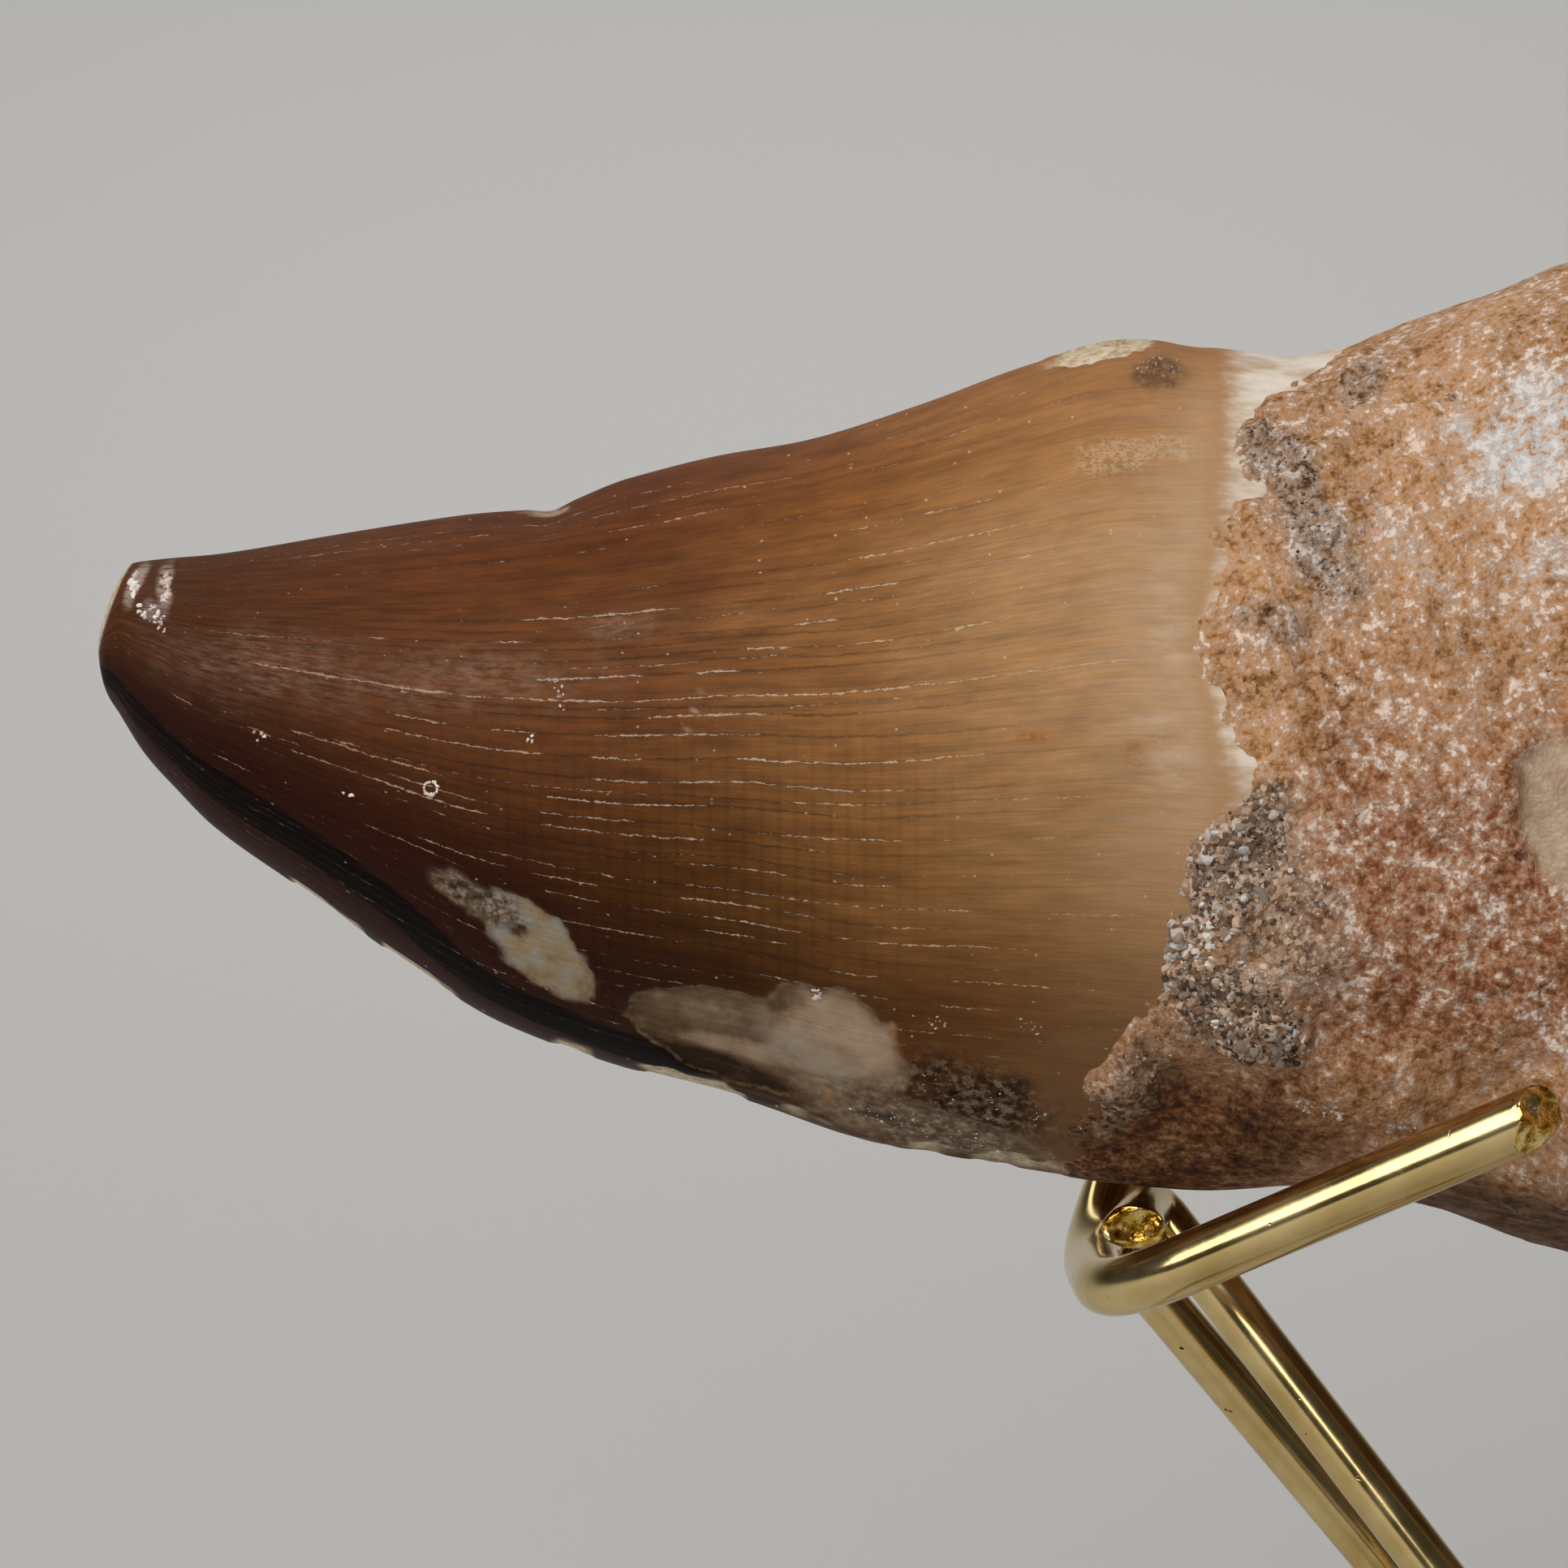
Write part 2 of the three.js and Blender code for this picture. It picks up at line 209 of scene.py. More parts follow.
# %% Points on the form
def form(x, angle):
    """The plain form: places, outward directions in the section, side and share of the way down.

    Angle 0 is on the upper edge, a quarter turn is on the front and half a turn is on the lower edge.
    """
    x, angle = np.broadcast_arrays(x, angle)
    side = np.where(angle < math.pi, -1.0, 1.0)
    down = (1 - np.cos(angle)) / 2
    end = np.clip((x - ROOT_END_START) / (TOOTH_LENGTH - ROOT_END_START), 0, 1)
    close = (1 - end**END_BULGE) ** (1 / END_BULGE)  # 1 along the tooth, down to 0 at its end
    upper, lower = along(UPPER_EDGE, x), along(LOWER_EDGE, x)
    half_height = (upper - lower) / 2 * close
    sharpness = 1.3 - 0.3 * smooth(48, 66, x)  # a lens on the crown, an oval on the root
    swell = np.abs(np.sin(angle)) ** sharpness
    half_width = along(HALF_THICKNESS, x) * close * np.where(side < 0, FRONT_SHARE, BACK_SHARE)
    y = side * half_width * swell
    z = (upper + lower) / 2 + half_height * np.cos(angle)
    out_y = y / (half_width + 0.01) ** 2
    out_z = (z - (upper + lower) / 2) / (half_height + 0.01) ** 2
    length = np.hypot(out_y, out_z) + 1e-9
    z = z + along(UPPER_CHIPS, x) * smooth(0.12, 0.0, down)
    return {"x": x, "y": y, "z": z, "out_y": out_y / length, "out_z": out_z / length,
            "front": side < 0, "down": down, "close": close}


def collar(at):
    """Where the enamel ends, along each line from tip to root."""
    return np.where(at["front"], along(COLLAR_FRONT, at["down"]), along(COLLAR_BACK, at["down"]))


def angle_at(x, z):
    """The angle on the front of the form for a place seen from the front."""
    upper, lower = along(UPPER_EDGE, x), along(LOWER_EDGE, x)
    return np.arccos(np.clip((2 * z - upper - lower) / (upper - lower), -1, 1))


def growth_place(at):
    """Millimetres from the tip, and millimetres round the tooth as they are at its widest."""
    across, back = 40.0, 60.0  # from edge to edge, and a step that keeps the two sides apart
    side = (at["down"] - 0.5) * across + np.where(at["front"], 0, back)
    return np.stack([at["x"], side, 0 * at["x"]], axis=-1)


print("enamel ends on the front at, mm:", min(COLLAR_FRONT, key=lambda row: row[1])[1], "to",
      max(COLLAR_FRONT, key=lambda row: row[1])[1])

# %% [markdown]
# ## From rings of points to a mesh
#
# Three hundred points round and as many rings along make quads about a fifth of a millimetre
# long in front. NumPy works out all points at once, and the same arrays carry values the materials
# read later, such as how far a point is from the nearest crack. Those ride on the mesh as named
# attributes.

# %% Mesh from rings
def new_piece(name, places, faces, values):
    """A smooth mesh object from points and faces, with named values at its points."""
    mesh = bpy.data.meshes.new(name)
    mesh.from_pydata(places.tolist(), [], faces)
    mesh.shade_smooth()
    for key, value in values.items():
        kind, width = ("FLOAT_VECTOR", 3) if value.ndim == 2 else ("FLOAT", 1)
        layer = mesh.attributes.new(key, kind, "POINT")
        layer.data.foreach_set("vector" if width == 3 else "value", value.astype(np.float32).ravel())
    made = bpy.data.objects.new(name, mesh)
    bpy.context.collection.objects.link(made)
    mesh.calc_loop_triangles()
    print(f"{name}: {len(mesh.vertices)} points, {len(mesh.loop_triangles)} triangles")
    return made


def ring_mesh(name, points, first_pole, last_pole, values):
    """A closed skin over rings of points, with named values at its points."""
    rings, around, _ = points.shape
    places = np.concatenate([points.reshape(-1, 3), [first_pole, last_pole]])
    ring, step = np.meshgrid(np.arange(rings - 1), np.arange(around), indexing="ij")
    here = ring * around + step
    beside = ring * around + (step + 1) % around
    quads = np.stack([here, beside, beside + around, here + around], axis=-1).reshape(-1, 4)
    here = np.arange(around)
    beside, last = (here + 1) % around, (rings - 1) * around
    start_fan = np.stack([np.full(around, rings * around), beside, here], axis=-1)
    end_fan = np.stack([np.full(around, rings * around + 1), last + here, last + beside], axis=-1)
    flat = {}
    for key, value in values.items():
        rows = np.asarray(value).reshape(rings * around, -1).squeeze()
        flat[key] = np.concatenate([rows, rows[:1], rows[-1:]])
    faces = quads.tolist() + start_fan.tolist() + end_fan.tolist()
    return new_piece(name, places, faces, flat)


def angles(front, back):
    """Steps round the tooth, with as many as asked in front and behind."""
    return np.concatenate([
        np.linspace(0, math.pi, front, endpoint=False),
        np.linspace(math.pi, 2 * math.pi, back, endpoint=False),
    ])


# %% [markdown]
# ## Cracks in the enamel
#
# Enamel shrinks as it fossilises and splits along its growth lines, which run from the tip to
# the collar and fan out as the crown widens. The splits are only a tenth of a millimetre wide,
# finer than the mesh. So the mesh carries the distance to the nearest crack, which changes
# smoothly, and the material draws the crack where that distance is nearly zero. The distance
# changes sign at each crack, because only then does it pass through zero between two points.

# %% Cracks
rng = np.random.default_rng(65)
# The main cracks: share of the way down, where each starts and ends from the tip, how white it is.
MAIN_CRACKS = [
    (0.385, 6.5, 49.0, 1.0), (0.415, 24.0, 38.0, 0.7), (0.348, 17.0, 33.0, 0.8), (0.318, 26.0, 43.0, 0.75),
    (0.285, 12.0, 36.0, 0.7), (0.245, 19.0, 45.0, 0.75), (0.205, 24.0, 44.0, 0.6), (0.165, 30.0, 46.0, 0.5),
    (0.445, 13.0, 31.0, 0.65), (0.480, 12.0, 42.0, 0.75), (0.515, 20.0, 39.0, 0.6), (0.550, 8.0, 30.0, 0.65),
    (0.600, 9.0, 36.0, 0.7), (0.640, 24.0, 41.0, 0.5), (0.690, 14.0, 40.0, 0.6), (0.740, 27.0, 42.0, 0.45),
    (0.790, 29.0, 43.0, 0.45), (0.300, 4.5, 14.0, 0.4), (0.100, 22.0, 34.0, 0.35),
]
CRACK_SPACING = 0.0225  # fine cracks fill the gaps between the main ones, this share apart
FINE_CRACKS = [
    (share, rng.uniform(2, 22), rng.uniform(43, 54), rng.uniform(0.1, 0.6) * smooth(0.98, 0.78, share))
    for share in np.arange(0.04, 0.96, CRACK_SPACING)
    if min(abs(share - main[0]) for main in MAIN_CRACKS) > 0.6 * CRACK_SPACING
]
print("cracks on each side:", len(MAIN_CRACKS) + len(FINE_CRACKS))


def crack_fields(x, down, height, seed):
    """Signed distance to the nearest crack in millimetres, and how white that crack is there."""
    cracks = sorted(MAIN_CRACKS + FINE_CRACKS)
    lines, shown = [], []
    for number, (share, start, end, whiteness) in enumerate(cracks):
        wander = 0.003 * lumps(x[:, :1], number * 9.7 + seed, 0.0, 5.0)
        wander = wander + 0.0013 * lumps(x[:, :1], number * 5.3 + seed, 3.0, 1.3)
        lines.append(share + wander)
        broken = smooth(-0.45, 0.15, lumps(x[:, :1], number * 3.1 + seed, 7.0, 2.2))
        ends = smooth(start, start + 2, x[:, :1]) * smooth(end, end - 3, x[:, :1])
        shown.append(whiteness * ends * np.maximum(broken, 0.5 * (whiteness > 0.9)))
    lines, shown = np.stack(lines, -1), np.stack(shown, -1)
    above = np.sum(down[..., None] > lines, axis=-1)
    low = np.clip(above - 1, 0, len(cracks) - 1)
    high = np.clip(above, 0, len(cracks) - 1)
    from_low = np.where(above > 0, down - np.take_along_axis(lines[:, 0], low, 1), 9.0) * height
    to_high = np.where(above < len(cracks), np.take_along_axis(lines[:, 0], high, 1) - down, 9.0) * height
    nearest = np.where(from_low < to_high, low, high)
    sign = np.where(above % 2 == 0, 1.0, -1.0)
    white = np.take_along_axis(shown[:, 0], nearest, 1)
    return sign * np.minimum(from_low, to_high), white


# %% [markdown]
# ## Marks on the crown
#
# Every scar, stain and crust is drawn as one or more turned ovals with ragged rims. An oval is
# easy to place and to change, and a few that overlap make any patch. The table gives, in
# millimetres and radians: how strong, the middle from the tip and up, half the length and half
# the width, the turn, how softly the rim fades and how ragged it is. Marks at the upper edge
# also say that they go on behind.

# %% Marks on the crown
def front_mark(at, middle, half, turn=0.0, soft=0.1, ragged=0.16, both=False):
    """1 inside a turned oval on the front of the tooth, or on both sides, fading out over its rim."""
    depth = 1.5 * at["y"] if both else 5.0  # so that the two sides are not mirror images
    rim = lumps(at["x"], at["z"], depth, 0.9) + 0.6 * lumps(at["x"], at["z"], depth + 4.0, 0.4)
    shape = oval(at["x"], at["z"], middle, half, turn) + ragged * rim
    return np.where(at["front"] | both, smooth(1 + soft, 1 - soft, shape), 0.0)


def oval_marks(at, table):
    """Each mark of a table of ovals, as a number from 0 to 1 at each point."""
    return {
        name: np.maximum.reduce([strong * front_mark(at, *place) for strong, *place in ovals])
        for name, ovals in table.items()
    }


CROWN_MARKS = {
    # The small scar, its gritty upper end and the pit in it.
    "small_scar": [
        (1.0, (20.6, -7.3), (3.15, 1.42), -0.75),
        (0.7, (17.6, -5.1), (2.0, 0.6), -0.55, 0.4, 0.4),
    ],
    "small_scar_end": [(1.0, (17.6, -5.1), (2.3, 0.8), -0.55, 0.5, 0.4)],
    "pit": [(1.0, (19.8, -6.8), (0.35, 0.25), 0.4, 0.3, 0.3)],
    # The long scar, with its pale, dark, gritty and bluish parts.
    "long_scar": [
        (1.0, (29.0, -10.6), (4.55, 1.31), -0.14),
        (1.0, (29.3, -12.5), (4.3, 1.0), -0.36),
        (1.0, (33.5, -11.8), (3.57, 2.51), -0.42),
        (1.0, (38.5, -15.9), (5.12, 1.13), -0.27, 0.25),
        (1.0, (34.3, -14.1), (3.2, 1.3), -0.4, 0.25),
    ],
    "scar_pale": [
        (1.0, (34.2, -11.7), (3.0, 2.1), -0.4, 0.4, 0.3),
        (0.5, (36.5, -15.1), (6.5, 1.1), -0.33, 0.5, 0.4),
        (0.3, (28.2, -10.4), (3.6, 0.8), -0.14, 0.5, 0.5),
        (0.8, (31.4, -12.5), (4.2, 0.42), -0.25, 0.5, 0.4),
    ],
    "scar_dark": [(0.7, (29.4, -13.2), (3.9, 0.55), -0.36, 0.4, 0.3)],
    "scar_gritty": [(1.0, (38.4, -15.6), (5.2, 1.3), -0.3, 0.5, 0.5)],
    "scar_blue": [(1.0, (32.4, -12.2), (2.0, 0.8), -0.4, 0.7, 0.4)],
    "rusty": [
        (1.0, (33.7, -14.3), (0.3, 0.3), 0.3, 0.5, 0.5),
        (1.0, (36.8, -12.1), (0.12, 0.4), 0.3, 0.6, 0.5),
        (1.0, (36.5, -11.2), (0.18, 0.18), 0.0, 0.6, 0.5),
    ],
    "sooty": [(1.0, (36.0, -15.2), (0.8, 0.28), -0.2, 0.5, 0.4)],
    # Damage at the upper edge, and a patch of the black streak apart from the rest.
    "edge_chip": [(1.0, (46.5, 20.3), (2.9, 0.75), 0.27, 0.15, 0.3, True)],
    "nick": [(0.45, (20.8, 12.4), (0.95, 0.2), 0.05, 0.4, 0.5, True)],
    "scratch": [(1.0, (27.65, 2.93), (1.09, 0.035), 1.26, 0.5, 0.2)],
    "dark_streak": [(0.5, (29.6, -14.3), (2.8, 0.4), -0.25, 0.4)],
    # What lies on the enamel: lime at the tip, chalky film that also carries painted sheen, crust, and
    # stains near the collar.
    "lime": [
        (1.0, (2.0, 9.1), (0.95, 0.3), 1.35, 0.4, 0.5),
        (1.0, (3.5, 8.9), (0.95, 0.32), 1.7, 0.4, 0.5),
        (0.6, (3.2, 7.8), (0.6, 0.35), -0.5, 0.5, 0.6),
    ],
    "film": [
        (0.7, (8.6, 5.2), (4.4, 1.3), -0.12, 0.9, 0.5),
        (0.55, (16.5, 4.6), (5.5, 1.1), 0.0, 0.9, 0.5),
        (0.5, (24.5, 7.0), (1.6, 0.5), 0.1, 0.8, 0.6),
    ],
    "net": [(1.0, (46.7, 14.6), (2.5, 0.8), 0.12, 0.3, 0.4)],
    "cloudy": [
        (1.0, (48.4, 7.0), (0.8, 1.9), 0.1, 0.8, 0.5),
        (0.8, (48.3, 1.8), (1.1, 2.0), 0.0, 0.8, 0.5),
    ],
    "amber": [
        (1.0, (42.2, 2.0), (1.22, 0.23), 0.0, 0.5),
        (0.7, (46.8, 1.3), (0.47, 0.51), 0.4, 0.5),
    ],
    "dark_crust": [
        (1.0, (40.4, -14.2), (3.5, 1.3), -0.3, 0.7, 0.5),
        (0.6, (48.6, 18.6), (1.27, 0.74), 0.3, 0.3, 0.35),
    ],
}
print("marks drawn as ovals:", len(CROWN_MARKS))

# %% [markdown]
# ## Marks that follow the crown's own lines
#
# The worn cutting edge, the black streak, the white band and the worn tip are not ovals. They
# follow the edge, the length or the collar, so tables along the tooth place them.

# %% Marks along the crown
# How far the lower cutting edge is worn to bare ivory.
WORN_EDGE = [
    (0.0, 0.0), (8.6, 0.1), (9.4, 0.8), (12.0, 0.8), (12.8, 0.1), (13.4, 0.8), (16.2, 0.8), (17.0, 0.0),
    (20.6, 0.1), (21.4, 0.8), (22.6, 0.7), (23.4, 0.1), (24.8, 0.3), (26.0, 0.9), (29.2, 0.8), (30.5, 0.1),
    (32.0, 0.5), (36.0, 0.4), (38.0, 0.45), (45.0, 0.5), (52.0, 0.55), (56.0, 0.2), (98.0, 0.0),
]
# The black streak: the middle of it and its half width, as shares of the way down.
STREAK_MIDDLE = [(0.0, 0.76), (4.0, 0.81), (8.0, 0.83), (13.5, 0.87), (18.0, 0.93), (29.0, 0.965)]
STREAK_HALF = [(0.0, 0.09), (4.0, 0.07), (10.0, 0.055), (16.0, 0.045), (19.0, 0.03), (29.0, 0.025)]


def crown_marks(at):
    """How strongly each kind of mark shows at each point of the crown."""
    x, y, z, down = at["x"], at["y"], at["z"], at["down"]
    marks = oval_marks(at, CROWN_MARKS)
    marks["scar_pale"] = marks["scar_pale"] - marks.pop("scar_dark")

    from_edge = np.minimum(down, 1 - down)
    worn = along(WORN_EDGE, x) * np.where(down > 0.5, 1.0, 0.0)
    crinkle = smooth(0.35, 0.8, worn + 0.2 * lumps(x, y, 3.0, 0.7) + 0.25 * lumps(x, y, 9.0, 1.6))
    marks["cutting_edge"] = smooth(0.022, 0.01, from_edge + 0.012 * lumps(x, y, 6.0, 0.8)) * crinkle

    streak = smooth(1.3, 0.5, np.abs(down - along(STREAK_MIDDLE, x)) / along(STREAK_HALF, x))
    streak = np.where(at["front"], 1.0, 0.4) * smooth(31, 25, x) * streak  # fainter behind
    marks["dark_streak"] = np.maximum(streak, marks["dark_streak"])

    narrower = 2.0 * smooth(0.0, 0.2, down) * (1 - at["front"])  # the white band behind
    marks["white_band"] = x - along(WHITE_BAND, down) - narrower + 0.25 * lumps(x, 0.0, z, 2.2)
    slanted = x - 0.33 * np.clip(z - 6.1, 0, 4.2)
    marks["tip_wear"] = smooth(0.32, 0.12, slanted) * smooth(4.2, 5.4, z)
    return marks


print("length of the black streak, mm:", STREAK_MIDDLE[-1][0])

# %% [markdown]
# ## The crown
#
# The crown is one smooth enamel shell. Its relief is slight: faint waves, two shallow scars near
# the lower edge where a flake of enamel is lost, a chip on the upper edge, and crinkled cutting
# edges. The shell runs a few millimetres on under the bone's rim, so no gap can show there.

# %% Crown
CROWN_END = 60.0


def crown_skin(x, angle):
    """The enamel's surface: the plain form with its relief and marks."""
    at = form(x, angle)
    marks = crown_marks(at)
    x, y, z = at["x"], at["y"], at["z"]
    scars = marks["small_scar"] + marks["long_scar"]
    out = -0.1 * lumps(x / 4, y, z, 5.0)  # faint waves, stretched along the tooth
    out = out - 0.3 * marks["small_scar"] - 0.22 * marks["long_scar"]
    out = out - 0.3 * marks["edge_chip"] * at["front"] - 0.25 * marks["pit"]
    out = out + 0.05 * scars * lumps(x, y, z, 0.7) + 0.15 * marks["dark_crust"] * lumps(x, y, z, 0.6)
    out = out - 0.14 * marks["cutting_edge"]
    out = (out * smooth(0, 3, x)) - 1.2 * smooth(0.6, 3.0, x - collar(at))
    at["places"] = to_frame(x, y + out * at["out_y"], z + out * at["out_z"])
    return at, marks


crown_angles = angles(216, 76)
u = np.arange(1, 331) / 330
crown_x = (CROWN_END * (u - 0.09 * np.sin(2 * np.pi * u)))[:, None]  # closer rings at both ends
crown, marks = crown_skin(crown_x, crown_angles[None, :])

height = np.maximum(along(UPPER_EDGE, crown_x) - along(LOWER_EDGE, crown_x), 6.0) * 1.15
crack, crack_white = np.empty_like(crown["x"]), np.empty_like(crown["x"])
for half, seed in ((crown_angles < math.pi, 0.0), (crown_angles >= math.pi, 50.0)):
    crack[:, half], crack_white[:, half] = crack_fields(crown_x, crown["down"][:, half], height, seed)

crown_values = {
    "growth": growth_place(crown), "down": crown["down"], "to_collar": collar(crown) - crown["x"],
    "crack": crack, "crack_white": crack_white, **marks,
}
start, end = to_frame(0.0, 0.0, 6.2), to_frame(CROWN_END, 0.0, 0.0)
crown_piece = ring_mesh("crown_enamel", crown["places"], start, end, crown_values)

# %% [markdown]
# ## The root
#
# The root is porous jaw bone turned to stone, rough like sugar, with bits of the sandy rock it
# lay in still stuck to it. Its rim stands on the enamel with a ragged edge. The skin starts just
# under the enamel, so the line where it comes out is made by the lumps themselves.

# %% Marks on the root
ROOT_MARKS = {
    "gravel": [
        (1.0, (50.7, -4.0), (4.3, 1.87), 0.98, 0.35, 0.3),
        (1.0, (50.9, -9.3), (3.68, 2.08), -0.5, 0.35, 0.3),
        (0.75, (53.0, -5.6), (2.24, 3.35), 0.2, 0.6, 0.3),
        (0.6, (46.8, -13.4), (2.5, 1.44), 0.95, 0.5, 0.3),
    ],
    "grey_patch": [
        (1.0, (53.5, 13.9), (2.28, 1.23), -1.0, 0.4, 0.35),
        (1.0, (54.9, 10.2), (3.0, 1.31), -1.15, 0.45, 0.35),
        (0.8, (57.5, 17.7), (1.35, 0.77), 0.9, 0.4, 0.35),
        (0.7, (53.0, 6.7), (2.23, 0.84), -0.3, 0.5, 0.35),
    ],
    "chalk": [
        (1.0, (64.4, 14.9), (3.4, 1.9), 0.45, 0.6, 0.5),
        (0.35, (58.9, 9.5), (2.2, 0.7), -0.9, 0.6, 0.5),
        (0.45, (64.7, 9.6), (2.6, 1.0), 0.4, 0.6, 0.5),
    ],
    "bald": [(1.0, (64.6, -0.9), (1.83, 3.3), 0.1, 0.15, 0.25)],
    "orange": [
        (1.0, (52.5, 1.7), (1.39, 3.15), 0.1, 0.5, 0.3),
        (0.7, (52.2, 8.4), (1.21, 2.62), 0.2, 0.5, 0.3),
        (0.8, (58.2, -13.6), (4.6, 1.6), 0.1, 0.7, 0.5),
    ],
}


def root_marks(at):
    """How strongly each kind of bone and crust shows at each point of the root."""
    x, y, z, close = at["x"], at["y"], at["z"], at["close"]
    marks = oval_marks(at, ROOT_MARKS)

    # Chalk and stain behind, and the sand that fills the hollow in the root's end.
    behind = smooth(-3, 6, y) * smooth(0.5, 0.8, close)
    cloud = smooth(0.25, 0.7, lumps(x + 50, y, z, 8.0) + 0.4 * lumps(x, y + 5, z, 2.2))
    marks["chalk"] = np.maximum(marks["chalk"], 0.8 * behind * cloud)
    marks["stain"] = behind * smooth(0.0, 0.5, lumps(x, y, z, 9.0) + 0.5 * lumps(x, y + 9, z, 2.6))
    marks["filling"] = smooth(0.7, 0.56, close + 0.07 * lumps(x, y, z, 3.0))

    # Three grounds, by height: the dark lower margin and the layered lobe under it, both partly painted
    # shade, and the rust above.
    uneven = 1.5 * lumps(x, 0.0, z, 3.0) + 0.6 * lumps(x, 4.0, z, 1.0)
    marks["margin"] = smooth(-8.6, -15.0, z + uneven) * smooth(61, 52, x)
    marks["lobe"] = smooth(-16.4, -18.0, z + 0.7 * lumps(x, 0.0, z, 2.0)) * smooth(58, 61, x)
    rusty = smooth(8.0, -2.0, z + 2.0 * lumps(x, 0.0, z, 4.0)) * smooth(52, 56, x)
    marks["red"] = rusty * smooth(-13.5, -9.5, z)
    return marks


print("marks drawn as ovals:", len(ROOT_MARKS))

# %% [markdown]
# ### Its skin
#
# The bone stands nearly a millimetre proud of the enamel. On that come big lumps, grit, pits in
# groups and long folds underneath, each a noise of its own size. The end is dished.

# %% Root
def root_skin(x, angle):
    """The bone's surface, with its crust, pits and folds."""
    at = form(x, angle)
    marks = root_marks(at)
    x, y, z, close = at["x"], at["y"], at["z"], at["close"]
    uneven = 0.6 * lumps(x, y, z, 2.1) + 0.5 * lumps(x, y, z, 0.9) + 0.35 * lumps(x, y, z, 0.42)
    rise = smooth(-1.6, 2.6, x - collar(at) + uneven + 0.5)
    ragged = 0.9 * smooth(86, 94, x) * lumps(x, y + 20, z, 4.0)
    bone = CRUST_STEP + 0.8 * lumps(x, y, z, 7.0) + 0.45 * lumps(x + 40, y, z, 3.2) + ragged
    rough = 1 - 0.75 * np.maximum(marks["bald"], marks["margin"])
    grit = 0.2 * lumps(x, y, z, 1.5) + 0.16 * lumps(x + 9, y, z, 0.8) + 0.14 * lumps(x, y + 3, z, 0.42)
    pits = smooth(0.45, 0.8, lumps(x, y + 31, z, 1.3)) * smooth(-0.2, 0.5, lumps(x, y, z + 77, 9.0))
    folds = 0.3 * lumps(x / 5, y, z, 2.4) * smooth(60, 66, x) * smooth(-10, -16, z)
    gravel = marks["gravel"] * (0.3 + 0.9 * lumps(x, y + 9, z, 1.9))
    out = bone + rough * grit - 0.35 * pits * rough + folds + gravel - 0.5 * marks["bald"]
    out = out * smooth(-0.04, 0.12, at["down"] * (1 - at["down"]))
    out = (-0.5 * (1 - rise) + out * rise) * close
    sunk = PULP_HOLLOW * smooth(0.8, 0.1, close) + 0.8 * smooth(0.95, 0.6, close) * lumps(x, y, z, 4.0)
    at["places"] = to_frame(x - sunk, y + out * at["out_y"], z + out * at["out_z"])
    return at, marks


root_angles = angles(190, 110)
w = np.linspace(0, 1, 300)[:, None]
rim_x = collar(form(50.0, root_angles[None, :])) - 1.6
root_x = rim_x + (TOOTH_LENGTH - 0.05 - rim_x) * (0.6 * w + 0.4 * w**2)
root, root_values = root_skin(root_x, root_angles[None, :])
end_z = (along(UPPER_EDGE, TOOTH_LENGTH) + along(LOWER_EDGE, TOOTH_LENGTH)) / 2
start, end = to_frame(52.0, 0.0, 1.0), to_frame(TOOTH_LENGTH - PULP_HOLLOW, 0.0, end_z)
root_piece = ring_mesh("root_bone", root["places"], start, end, root_values)

# %% [markdown]
# ## Grains of rock and specks of lime
#
# Sand from the rock is still cemented to the collar: broken grains, most of them from a tenth to
# half a millimetre across, some white, some nearly black. They are too coarse for a painted
# pattern, so each is a small ball with flat faces cut into it, pushed into the surface. Specks of
# lime on the enamel are made the same way. All grains of a kind make one mesh, which is lighter
# than an object for each, and each grain carries a number for its tint.

# %% One grain, and many
def ball():
    """The points and triangles of a small ball, from an icosahedron split once."""
    shape = bmesh.new()
    bmesh.ops.create_icosphere(shape, subdivisions=2, radius=1.0)
    places = np.array([v.co[:] for v in shape.verts])
    faces = np.array([[v.index for v in f.verts] for f in shape.faces])
    shape.free()
    return places, faces


def scatter(name, skin, clusters, sunk):
    """Many broken grains on a surface, in oval clusters, each sunk into it by a share of its size.

    A cluster is its middle, half size, turn, number of grains, range of radius and range of tint.
    """
    places, faces = ball()
    grain_places, grain_faces, grain_tints = [], [], []
    for middle, half, turn, count, sizes, tints in clusters:
        reach, way = np.sqrt(rng.uniform(0, 1, count)), rng.uniform(0, 2 * math.pi, count)
        lengthwise, sideways = half[0] * reach * np.cos(way), half[1] * reach * np.sin(way)
        x = middle[0] + lengthwise * math.cos(turn) - sideways * math.sin(turn)
        z = middle[1] + lengthwise * math.sin(turn) + sideways * math.cos(turn)
        at, _ = skin(x, angle_at(x, z))
        outward = np.stack([0 * at["x"], at["out_y"], at["out_z"]], axis=-1)
        size = sizes[0] + (sizes[1] - sizes[0]) * rng.uniform(0, 1, count) ** 2.5
        for number in range(count):
            shape = places * (1 + 0.2 * lumps(*(places + rng.uniform(0, 50, 3)).T, 0.8)[:, None])
            for face in rng.normal(size=(7, 3)):  # flat broken faces
                face /= np.linalg.norm(face)
                beyond = np.maximum(shape @ face - rng.uniform(0.3, 0.75), 0)
                shape = shape - beyond[:, None] * face
            shape = shape * size[number] * rng.uniform(0.75, 1.3, 3)
            grain_faces.append(faces + len(places) * len(grain_places))
            shape = shape - sunk * size[number] * outward[number]
            grain_places.append(at["places"][number] + shape * MM)
            # Neighbours are alike: a lump a millimetre wide makes them all paler or darker.
            grouped = 0.4 * (tints[1] - tints[0]) * lumps(x[number], 4.0, z[number], 1.1)
            shade = np.clip(rng.uniform(*tints) + grouped, 0, 1)
            grain_tints.append(np.full(len(places), shade))
    return new_piece(name, np.concatenate(grain_places), np.concatenate(grain_faces).tolist(),
                     {"tint": np.concatenate(grain_tints)})


print("points of one grain:", len(ball()[0]))
